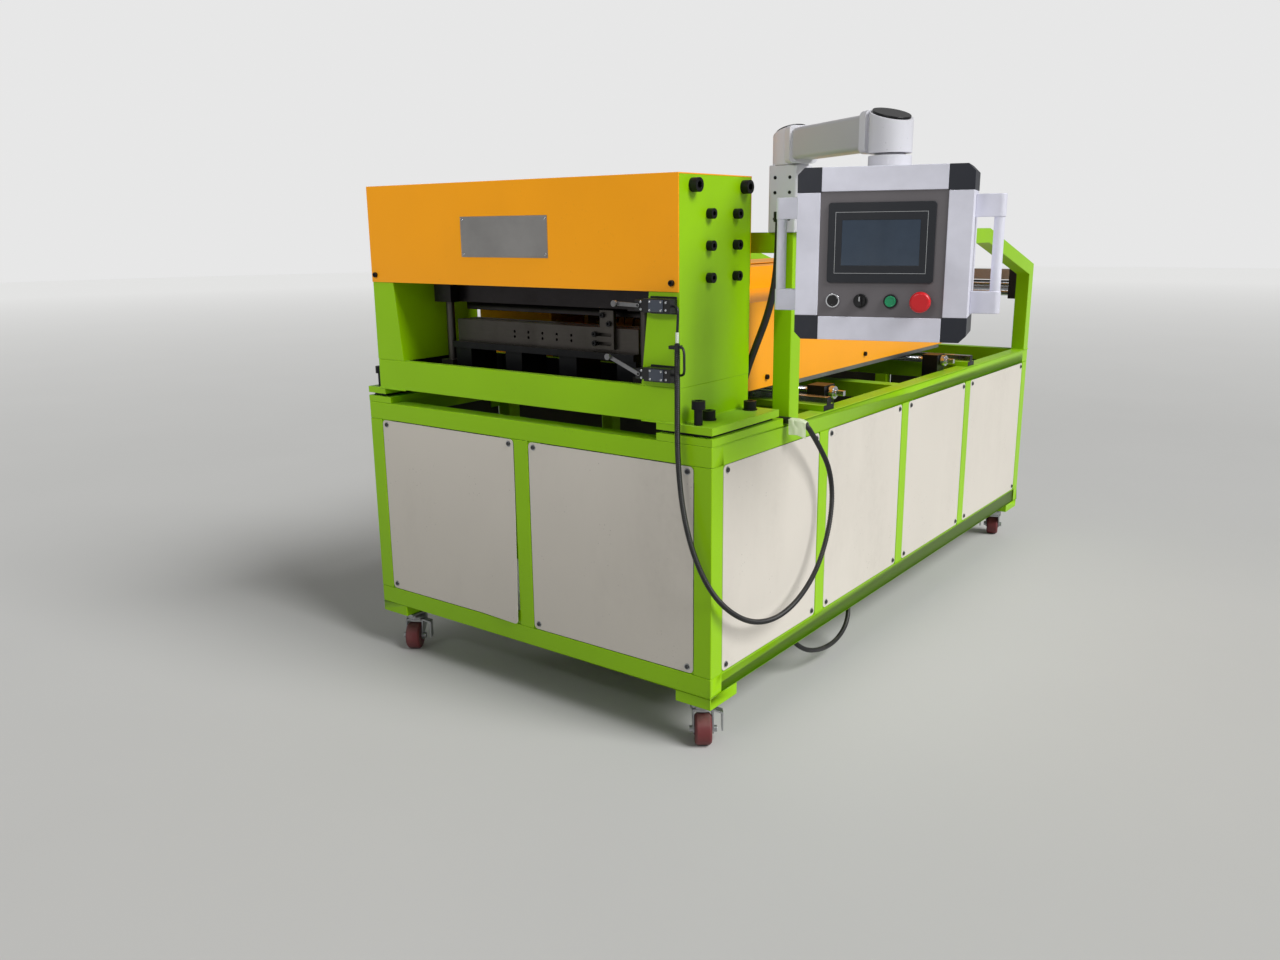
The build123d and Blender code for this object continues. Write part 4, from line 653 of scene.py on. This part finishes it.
# %% Rounded copies of the smaller measured pieces
small_pieces = [
    ("portal_bolts", "black_steel", 1.2, black_oxide),
    ("limit_switches", "black_steel", 1.0, black_plastic),
    ("ram", "tool_steel", 0.8, tool_steel),
    ("edge_guide", "tool_steel", 0.6, die_steel),
    ("press_cylinders", "tool_steel", 1.0, tool_steel),
    ("guide_rods", "bright_steel", 0.8, die_steel),
    ("upper_switch_lever", "bright_steel", 0.3, row_steel),
    ("lower_switch_lever", "bright_steel", 0.3, row_steel),
    ("entry_lower_roller", "bright_steel", 0.8, bright),
    ("entry_upper_roller", "bright_steel", 0.8, bright),
    ("left_roll_row", "row_steel", 0.8, row_steel),
    ("right_roll_row", "row_steel", 0.8, row_steel),
    ("left_lower_roll", "row_steel", 0.8, bright),
    ("left_upper_roll", "row_steel", 0.8, bright),
    ("right_lower_roll", "row_steel", 0.8, bright),
    ("right_upper_roll", "row_steel", 0.8, bright),
    ("drive_motor", "motor_paint", 2.0, motor_blue),
    ("arm_bracket", "arm_paint", 2.0, arm_grey),
    ("panel_corners", "dark_plastic", 2.5, dark_plastic),
    ("panel_handles", "panel_aluminium", 1.5, panel_metal),
    ("selector_switch", "black_knob", 0.8, black_plastic),
    ("stop_button", "red_knob", 0.5, red_plastic),
    ("caster_plates", "zinc_steel", 0.8, zinc),
]
for node, slot, width, finish in small_pieces:
    dressed(node, slot, width * mm, finish)
caster_corners = ("front_right", "front_left", "rear_right", "rear_left")
for corner in caster_corners:
    dressed(corner + "_fork", "zinc_steel", 0.8 * mm, zinc)
for cable in cables:
    cable.data.materials.append(rubber)

# %% [markdown]
# ## Pieces with more than one finish
# One measured node can hold parts that look different, such as the ground die bars on their black bed.
# They could be split into objects, but one object with several material slots is lighter, so each
# face picks its slot from where its middle lies on the drawing.
# %% Two finishes by height or side
dressed("lower_die", "tool_steel", 0.8 * mm, black_oxide, die_steel,
        choose=lambda place: 1 if place.z > level(953) else 0)


def way_finish(place):
    """Green pads, bright rails and black bearings."""
    if place.x > at(1080, 0, 0).x and place.z > level(773):
        return 2
    return 0 if place.z < level(788.5) else 1


dressed("slide_ways", "black_steel", 0.8 * mm, green, bright, black_oxide, choose=way_finish)
dressed("entry_guide", "row_steel", 1.0 * mm, row_steel, black_oxide,
        choose=lambda place: 0 if at(80, 0, 0).x < place.x < at(1120, 0, 0).x else 1)
dressed("cable_fittings", "dark_plastic", 0.8 * mm, black_plastic)
dressed("panel_housing", "panel_aluminium", 1.5 * mm, panel_metal, arm_grey,
        choose=lambda place: 1 if place.z > level(1377.5) else 0)


core_reach = 30 * mm


def wheel_finish(corner):
    """The tread outside, the core inside, by the distance from the wheel's middle."""
    low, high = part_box(corner + "_wheel")
    middle = (low + high) / 2
    return lambda place: 0 if (place - middle).length > core_reach else 1


for corner in caster_corners:
    dressed(corner + "_wheel", "red_tread", 1.5 * mm, tread, wheel_core, choose=wheel_finish(corner))


# %% Arm caps by connected piece
def islands(form):
    """The separate pieces inside one bmesh, as lists of faces."""
    left = set(form.faces)
    found = []
    while left:
        group = [left.pop()]
        for face in group:
            for other in {near for edge in face.edges for near in edge.link_faces} & left:
                left.remove(other)
                group.append(other)
        found.append(group)
    return found


pivot_x, pivot_y, arm_height = 1535.66, 144.29, 1403
elbow_reach = 64 * mm
arm_start, arm_end = at(1175, 383, arm_height), at(pivot_x, pivot_y, arm_height)
arm_length = (arm_end - arm_start).length
arm_line = (arm_end - arm_start).normalized()
arm_form = merged("swing_arm")
for group in islands(arm_form):
    if min(face.calc_center_median().z for face in group) > level(1440):
        for face in group:
            face.material_index = 1
round_edges(arm_form, 2.0 * mm)
for face in arm_form.faces:
    along = (face.calc_center_median() - arm_start).dot(arm_line)
    if abs(along - arm_length / 2) < arm_length / 2 - elbow_reach:
        face.material_index = 2
arm_finishes = (arm_grey, gloss_black, arm_tube)
arm_piece = finish_piece(arm_form, "swing_arm_rounded", arm_finishes, "arm")
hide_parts("swing_arm")
print("arm has", len(arm_piece.data.polygons), "faces")

# %% [markdown]
# ## Lead screws
# The moving row is set by two lead screws, and their threads shine in the dark gap under the hood. A
# thread is a tooth outline swept round an axis while it moves along it, which is what spin does when
# it is given a shift for each step. The measured screw is cut behind its bearing and thinned to the
# root of the thread, so that the teeth stand on it.
# %% Lead screws
thread_left, thread_right = 700, 1088
thread_pitch = 5.0
root, crest, plain_radius = 9.2 * mm, 10.95 * mm, 11 * mm
screw_height = 806.5


def thread(y, z):
    """One continuous tooth along X on the axis at y and z."""
    form = bmesh.new()
    sunk = root - 0.4 * mm
    outline = [(0, sunk), (0.2, root), (0.45, crest), (0.55, crest), (0.8, root), (1.0, sunk)]
    start = at(thread_left, y, z)
    corners = [form.verts.new(start + Vector((share * thread_pitch * mm, 0, radius)))
               for share, radius in outline]
    edges = [form.edges.new(pair) for pair in zip(corners, corners[1:])]
    turns = int((thread_right - thread_left) / thread_pitch) - 1
    steps = 18
    bmesh.ops.spin(form, geom=corners + edges, cent=start, axis=(1, 0, 0), angle=2 * pi * turns,
                   steps=steps * turns, dvec=(thread_pitch * mm / steps, 0, 0))
    bmesh.ops.remove_doubles(form, verts=form.verts, dist=1e-5)
    bmesh.ops.recalc_face_normals(form, faces=form.faces)
    return form


def lead_screw(name, y, z):
    """The measured screw thinned under its thread, and the thread itself."""
    form = merged(name + "_lead_screw")
    for cut in (thread_right - 1, thread_right + 1):
        bmesh.ops.bisect_plane(form, geom=form.verts[:] + form.edges[:] + form.faces[:],
                               plane_co=at(cut, y, z), plane_no=(1, 0, 0))
    thin = [corner for corner in form.verts if corner.co.x < at(thread_right, 0, 0).x]
    bmesh.ops.scale(form, vec=(1, root / plain_radius, root / plain_radius), verts=thin,
                    space=Matrix.Translation(-at(0, y, z)))
    round_edges(form, 0.5 * mm)
    body = name + "_screw"
    core = finish_piece(form, name + "_screw_core", [bright], body)
    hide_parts(name + "_lead_screw")
    return finish_piece(thread(y, z), name + "_screw_thread", [bright], body, smooth=50)


for name, y in (("front", 680), ("rear", 1515)):
    print(name, "thread faces", len(lead_screw(name, y, screw_height).data.polygons))

# %% [markdown]
# ## Screws
# Dozens of small screws hold the sheets. Each head is a short cone with a rounded rim and a recess, and
# one mesh of it is stamped wherever the drawing has a screw, so that hundreds of faces are enough
# for all of them.
# %% Fastener patterns
def head_pattern(name, radius, height, recess, sides=14, rim=0.3):
    """A screw head whose seat is the origin and whose recess opens along +Z."""
    form = bmesh.new()
    bmesh.ops.create_cone(form, cap_ends=True, segments=sides, radius1=radius, radius2=radius, depth=height,
                          matrix=Matrix.Translation((0, 0, height / 2)))
    top = max(form.faces, key=lambda face: face.calc_center_median().z)
    bmesh.ops.bevel(form, geom=list(top.edges), offset=height * rim, offset_type="OFFSET", segments=2,
                    profile=0.5, affect="EDGES", clamp_overlap=True, material=-1)
    top = max(form.faces, key=lambda face: (round(face.calc_center_median().z, 6), face.calc_area()))
    bmesh.ops.inset_individual(form, faces=[top], thickness=(radius - height * rim) * (1 - recess))
    bmesh.ops.inset_individual(form, faces=[top], thickness=radius * 0.04, depth=-height * 0.55)
    mesh = bpy.data.meshes.new(name)
    form.to_mesh(mesh)
    form.free()
    return mesh


def stamp(form, pattern, place, aim, slot=0):
    """Add a pattern to a bmesh with its seat at a place and its recess towards an aim."""
    first = len(form.verts)
    first_face = len(form.faces)
    form.from_mesh(pattern)
    form.verts.ensure_lookup_table()
    form.faces.ensure_lookup_table()
    turned = Vector(aim).to_track_quat("Z", "Y").to_matrix().to_4x4()
    bmesh.ops.transform(form, matrix=Matrix.Translation(place) @ turned, verts=form.verts[first:])
    for face in form.faces[first_face:]:
        face.material_index = slot


pan_head = head_pattern("pan_head", 5.6 * mm, 3.0 * mm, 0.42)
flat_washer = head_pattern("flat_washer", 8.4 * mm, 0.9 * mm, 0.7, sides=18)
socket_head = head_pattern("socket_head", 7.0 * mm, 7.5 * mm, 0.5, rim=0.12)
small_head = head_pattern("small_head", 3.1 * mm, 1.8 * mm, 0.45, sides=10)
grub_screw = head_pattern("grub_screw", 4.2 * mm, 1.2 * mm, 0.55, sides=12)
rivet = head_pattern("rivet", 3.4 * mm, 1.3 * mm, 0.2, sides=12, rim=0.6)
print("pan head faces", len(pan_head.polygons))

# %% Screws of the cover sheets
bays = {
    "front": [(50, 577), (627, 1150)], "rear": [(50, 575), (625, 1150)],
    "right": [(50, 534), (584, 1085), (1135, 1636), (1686, 2270)],
    "left": [(50, 534), (584, 1085), (1135, 1636), (1686, 2270)],
}
side_places = {
    "front": (lambda along, z: at(along, 1.0, z), (0, -1, 0)),
    "rear": (lambda along, z: at(along, 2319.0, z), (0, 1, 0)),
    "right": (lambda along, z: at(1199.0, along, z), (1, 0, 0)),
    "left": (lambda along, z: at(1.0, along, z), (-1, 0, 0)),
}
screw_inset, low_screws, high_screws = 19, 218, 707
bent_corner = ("front", 558, 218)
washer_height = 0.8 * mm
sheet_screws = bmesh.new()
for side, spans in bays.items():
    place_on, outward = side_places[side]
    for start, end in spans:
        for along in (start + screw_inset, end - screw_inset):
            for z in (low_screws, high_screws):
                if (side, along, z) == bent_corner:
                    continue
                seat = place_on(along, z)
                stamp(sheet_screws, flat_washer, seat, outward)
                stamp(sheet_screws, pan_head, seat + Vector(outward) * washer_height, outward, slot=1)
print("sheet screw faces", len(sheet_screws.faces))
finish_piece(sheet_screws, "sheet_screws", (zinc, dark_zinc), "base")

# %% Screws of the orange covers
cover_screws = bmesh.new()
for x in (72, 1092):
    stamp(cover_screws, socket_head, at(x, -3, 1138), (0, -1, 0))
finish_piece(cover_screws, "cover_screws", [black_oxide], "base")
for body, x, outward in (("right_row", 1059, (1, 0, 0)), ("base", 141, (-1, 0, 0))):
    hood_screws = bmesh.new()
    for y in (484, 1098, 1712):
        stamp(hood_screws, socket_head, at(x, y, 866), outward)
    finish_piece(hood_screws, body + "_hood_screws", [black_oxide], body)

# %% Set screws of the arm's bracket
bracket_screws = bmesh.new()
for z in (1374, 1339, 1277):
    for x in (1155, 1195):
        stamp(bracket_screws, grub_screw, at(x, 343, z), (0, -1, 0))
finish_piece(bracket_screws, "bracket_screws", [black_oxide], "base")
print("screws done")

# %% [markdown]
# ## Name plate
# A brushed plate is riveted to the middle of the front cover. A box with a bevel would do, but a
# thin frame line round the edge catches the light as on a pressed plate.
# %% Name plate
def box_at(centre, size):
    """A box of some size round a place on the drawing."""
    form = bmesh.new()
    bmesh.ops.create_cube(form, size=1, matrix=Matrix.Translation(at(*centre))
                          @ Matrix.Diagonal((size[0] * mm, size[1] * mm, size[2] * mm, 1)))
    return form


plate_form = box_at((572, -3.6, 1241), (300, 1.2, 102))
front = min(plate_form.faces, key=lambda face: face.calc_center_median().y)
bmesh.ops.inset_individual(plate_form, faces=[front], thickness=3 * mm)
bmesh.ops.inset_individual(plate_form, faces=[front], thickness=0.6 * mm, depth=-0.35 * mm)
round_edges(plate_form, 0.25 * mm)
finish_piece(plate_form, "name_plate", [plate_metal], "base")
rivets = bmesh.new()
for x in (430, 714):
    for z in (1198, 1284):
        stamp(rivets, rivet, at(x, -4.0, z), (0, -1, 0))
finish_piece(rivets, "plate_rivets", [bright], "base")
print("name plate done")

# %% [markdown]
# ## Weld seams
# Thick plates and posts are welded, not bolted, and the painter sprayed over the beads. A bead is a
# thin tube with ripples, half sunk in the corner it fills, so the sleeve's kind of tube serves again
# with a different size and finish.
# %% Weld seams
def line_points(start, end, step):
    """Evenly spaced points on a straight line."""
    start, end = at(*start), at(*end)
    count = max(2, int((end - start).length / step))
    return [start.lerp(end, index / count) for index in range(count + 1)]


seams = []
rail_top, post_side, beam_foot, beam_depth = 772, 50, 816, 306
for x, y in ((1150, 358), (1150, 2270), (0, 358), (0, 2270)):
    loop = [(x, y, rail_top), (x + post_side, y, rail_top), (x + post_side, y + post_side, rail_top),
            (x, y + post_side, rail_top)]
    seams += list(zip(loop, loop[1:] + loop[:1]))
for x0, x1 in ((54, 163), (1001, 1110)):
    seams.append(((x0, 0, beam_foot), (x1, 0, beam_foot)))
for x in (1110, 54):
    seams.append(((x, 0, beam_foot), (x, beam_depth, beam_foot)))
for index, (start, end) in enumerate(seams):
    bead = tube(f"weld_{index:02d}", line_points(start, end, 1.3 * mm), 2.6 * mm, 0.86)
    bead.data.materials.append(green)
    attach(bead, "base")
print("weld seams", len(seams))

# %% [markdown]
# ## Limit switches
# Each switch is a dark cast box with a lighter lid held by four screws, a head with its own screws, and
# a roller lever. Lid and screws are what makes it read as a switch.
# %% Limit switches
ferrule = bmesh.new()
ferrule_radius = 3.9 * mm
bmesh.ops.create_cone(ferrule, cap_ends=True, segments=24, radius1=ferrule_radius, radius2=ferrule_radius,
                      depth=24 * mm, matrix=Matrix.Translation(at(1119, -22, 1019)))
round_edges(ferrule, 0.6 * mm)
finish_piece(ferrule, "lead_ferrule", [ferrule_plastic], "base")
for label, z in (("lower", 931), ("upper", 1088)):
    lid = box_at((1066, -31.0, z), (40, 2.4, 27))
    round_edges(lid, 0.8 * mm)
    finish_piece(lid, label + "_switch_lid", [switch_lid], "base")
    lid_screws = bmesh.new()
    for x in (1050.5, 1081.5):
        for rise in (-9.5, 9.5):
            stamp(lid_screws, small_head, at(x, -32.2, z + rise), (0, -1, 0))
    for x in (1024, 1094):
        for rise in (-8.5, 8.5):
            stamp(lid_screws, small_head, at(x, -30, z + rise), (0, -1, 0))
    finish_piece(lid_screws, label + "_switch_screws", [bright], "base")
print("limit switches done")


# %% [markdown]
# ## Edge guide and its bolts
# The slotted plate beside the mouth is held by bolts through its slots and holes, so that it can be
# set to the sheet's edge. The bolt heads are stamped like the other screws.
# %% Edge guide bolts
guide_bolts = bmesh.new()
for x, z in ((773, 975), (773, 998), (799.5, 1047), (820.5, 1026)):
    stamp(guide_bolts, socket_head, at(x, 110.3, z), (0, -1, 0))
finish_piece(guide_bolts, "guide_bolts", [black_oxide], "base")
print("edge guide done")

# %% [markdown]
# ## Operator panel
# The panel's front is a textured plate with a touch screen and four controls. The screen's bezel,
# its thin light line and the glass are separate layers, because each shines differently. They are
# made flat, facing -Y, and one matrix puts them on the turned panel.
# %% Panel places
panel_turn = radians(15.4)
panel_rotation = Matrix.Rotation(panel_turn, 3, "Z")
panel_pivot = at(pivot_x, pivot_y, 0)
panel_width, panel_height, panel_top, panel_front = 352, 350, 1376.5, 65


def on_panel(across, down, out):
    """A place on the panel's front: millimetres from its top left corner and out of its face."""
    local = Vector(((across - panel_width / 2) * mm, -(panel_front + out) * mm, 0))
    return panel_pivot + panel_rotation @ local + Vector((0, 0, (panel_top - down) * mm))


out_of_panel = panel_rotation @ Vector((0, -1, 0))


def panel_plate(across, down, width, height, thick, seat):
    """A plate on the panel's front with its back at a seat height."""
    form = bmesh.new()
    middle = on_panel(across + width / 2, down + height / 2, seat + thick / 2)
    size = Matrix.Diagonal((width * mm, thick * mm, height * mm, 1))
    bmesh.ops.create_cube(form, size=1, matrix=Matrix.Translation(middle) @ panel_rotation.to_4x4() @ size)
    return form


print("panel middle", tuple(round(v, 3) for v in on_panel(panel_width / 2, panel_height / 2, 0)))

# %% [markdown]
# ## Screen
# The display is a dark blue sheet of glass, set a little back in its bezel. A thin pale line runs round
# it on the bezel. The line is one face, inset to leave a narrow frame, which is then given a small
# thickness, so it needs no texture.
# %% Bezel, glass and line
screen_left, screen_down = 66.5, 70.5
bezel_width, bezel_height, glass_width, glass_height = 215, 161, 157, 91
line_across, line_down = 15, 19
dressed("touch_screen", "screen_glass", 1.2 * mm, bezel_plastic)
display = panel_plate(screen_left + (bezel_width - glass_width) / 2,
                      screen_down + (bezel_height - glass_height) / 2, glass_width, glass_height, 0.5, 1.02)
round_edges(display, 0.15 * mm)
finish_piece(display, "display_glass", [screen_finish], "panel")


def line_frame(across, down, width, height, line, thick, seat):
    """A thin rectangular frame on the panel's front."""
    form = panel_plate(across, down, width, height, thick, seat)
    front = max(form.faces, key=lambda face: face.calc_center_median().dot(out_of_panel))
    back = min(form.faces, key=lambda face: face.calc_center_median().dot(out_of_panel))
    bmesh.ops.inset_individual(form, faces=[front, back], thickness=line * mm)
    bmesh.ops.delete(form, geom=[front, back], context="FACES_ONLY")
    open_edges = [edge for edge in form.edges if edge.is_boundary]
    bmesh.ops.bridge_loops(form, edges=open_edges)
    return form


display_line = line_frame(screen_left + line_across, screen_down + line_down, bezel_width - 2 * line_across,
                          bezel_height - 2 * line_down, 0.9, 0.12, 2.0)
finish_piece(display_line, "display_line", [line_white], "panel")
print("screen done")

# %% Front plate and control rings
control_across, control_down = (80.5, 138, 199.5, 260.5), 268.5
ring_radius, knob_height = 16 * mm, 14.9
pointer_width, pointer_length = 1.8, 9


def face_finish(place):
    """Chrome for the first control's ring, black for the others, texture for the plate."""
    for index, across in enumerate(control_across):
        offset = place - on_panel(across, control_down, 0)
        out = offset.dot(out_of_panel)
        if out > -2.6 * mm and (offset - out * out_of_panel).length < ring_radius:
            return 1 if index == 0 else 2
    return 0


dressed("panel_face", "face_paint", 0.7 * mm, face_paint, chrome, black_plastic, choose=face_finish)


def dished_button(node, finish):
    """A round button whose top is inset and sunk a little."""
    form = merged(node)
    top = max(form.faces, key=lambda face: (
        round(face.calc_center_median().dot(out_of_panel), 5), face.calc_area()))
    bmesh.ops.inset_individual(form, faces=[top], thickness=2.6 * mm)
    bmesh.ops.inset_individual(form, faces=[top], thickness=0.9 * mm, depth=-0.8 * mm)
    round_edges(form, 0.5 * mm)
    piece = finish_piece(form, node + "_dished", [finish], body_of_node[node])
    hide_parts(node)


dished_button("black_button", black_plastic)
dished_button("green_button", green_plastic)
pointer = panel_plate(control_across[1] - pointer_width / 2, control_down - pointer_length,
                      pointer_width, pointer_length, 0.5, knob_height)
finish_piece(pointer, "selector_pointer", [line_white], "selector")
print("controls done")

# %% [markdown]
# ## Paper tape on the cable
# Where the sleeve enters the base, a flap of pale tape is wrapped over it. It is a small grid
# bent over the cable: its back edge lies behind, it goes over the top, and the rest hangs in front
# with a few soft creases, which a seeded noise moves in and out.
# %% Paper tape
tape_start, tape_length, tape_width = 1212, 44, 64
wrap_radius, wrapped_turn = 9.5, 2.6


def draped(across, down):
    """A point of the flap, from 0 to 1 along the cable and 0 to 1 from its back edge to its free edge."""
    cable_y = 343 + 8 * across
    cable_z = 783 - 26 * max(0.0, across - 0.45) ** 2 - 3
    x = tape_start + tape_length * across
    around = (down * tape_width) / wrap_radius
    if around < wrapped_turn:
        y, z = wrap_radius * cos(around - 0.5), wrap_radius * sin(around - 0.5) + 1
        place = Vector((x, cable_y + y, cable_z + z))
    else:
        hang = (around - wrapped_turn) * wrap_radius
        place = Vector((x + 0.12 * hang, cable_y - 8.5 - 0.18 * hang, cable_z + 8 - hang * 0.96))
    crease = clouds.noise(Vector((across * 3.1, down * 2.3, 4.2)))
    return place + Vector((1.5 * crease, -2.6 * abs(crease), 2.0 * crease * down))


flap = bmesh.new()
bmesh.ops.create_grid(flap, x_segments=22, y_segments=28, size=0.5)
for corner in flap.verts:
    corner.co = at(*draped(corner.co.x + 0.5, corner.co.y + 0.5))
bmesh.ops.recalc_face_normals(flap, faces=flap.faces)
bmesh.ops.solidify(flap, geom=flap.faces[:], thickness=0.5 * mm)
flap_piece = finish_piece(flap, "paper_tape", [pale_tape], "base", smooth=80)
print("tape faces", len(flap_piece.data.polygons))
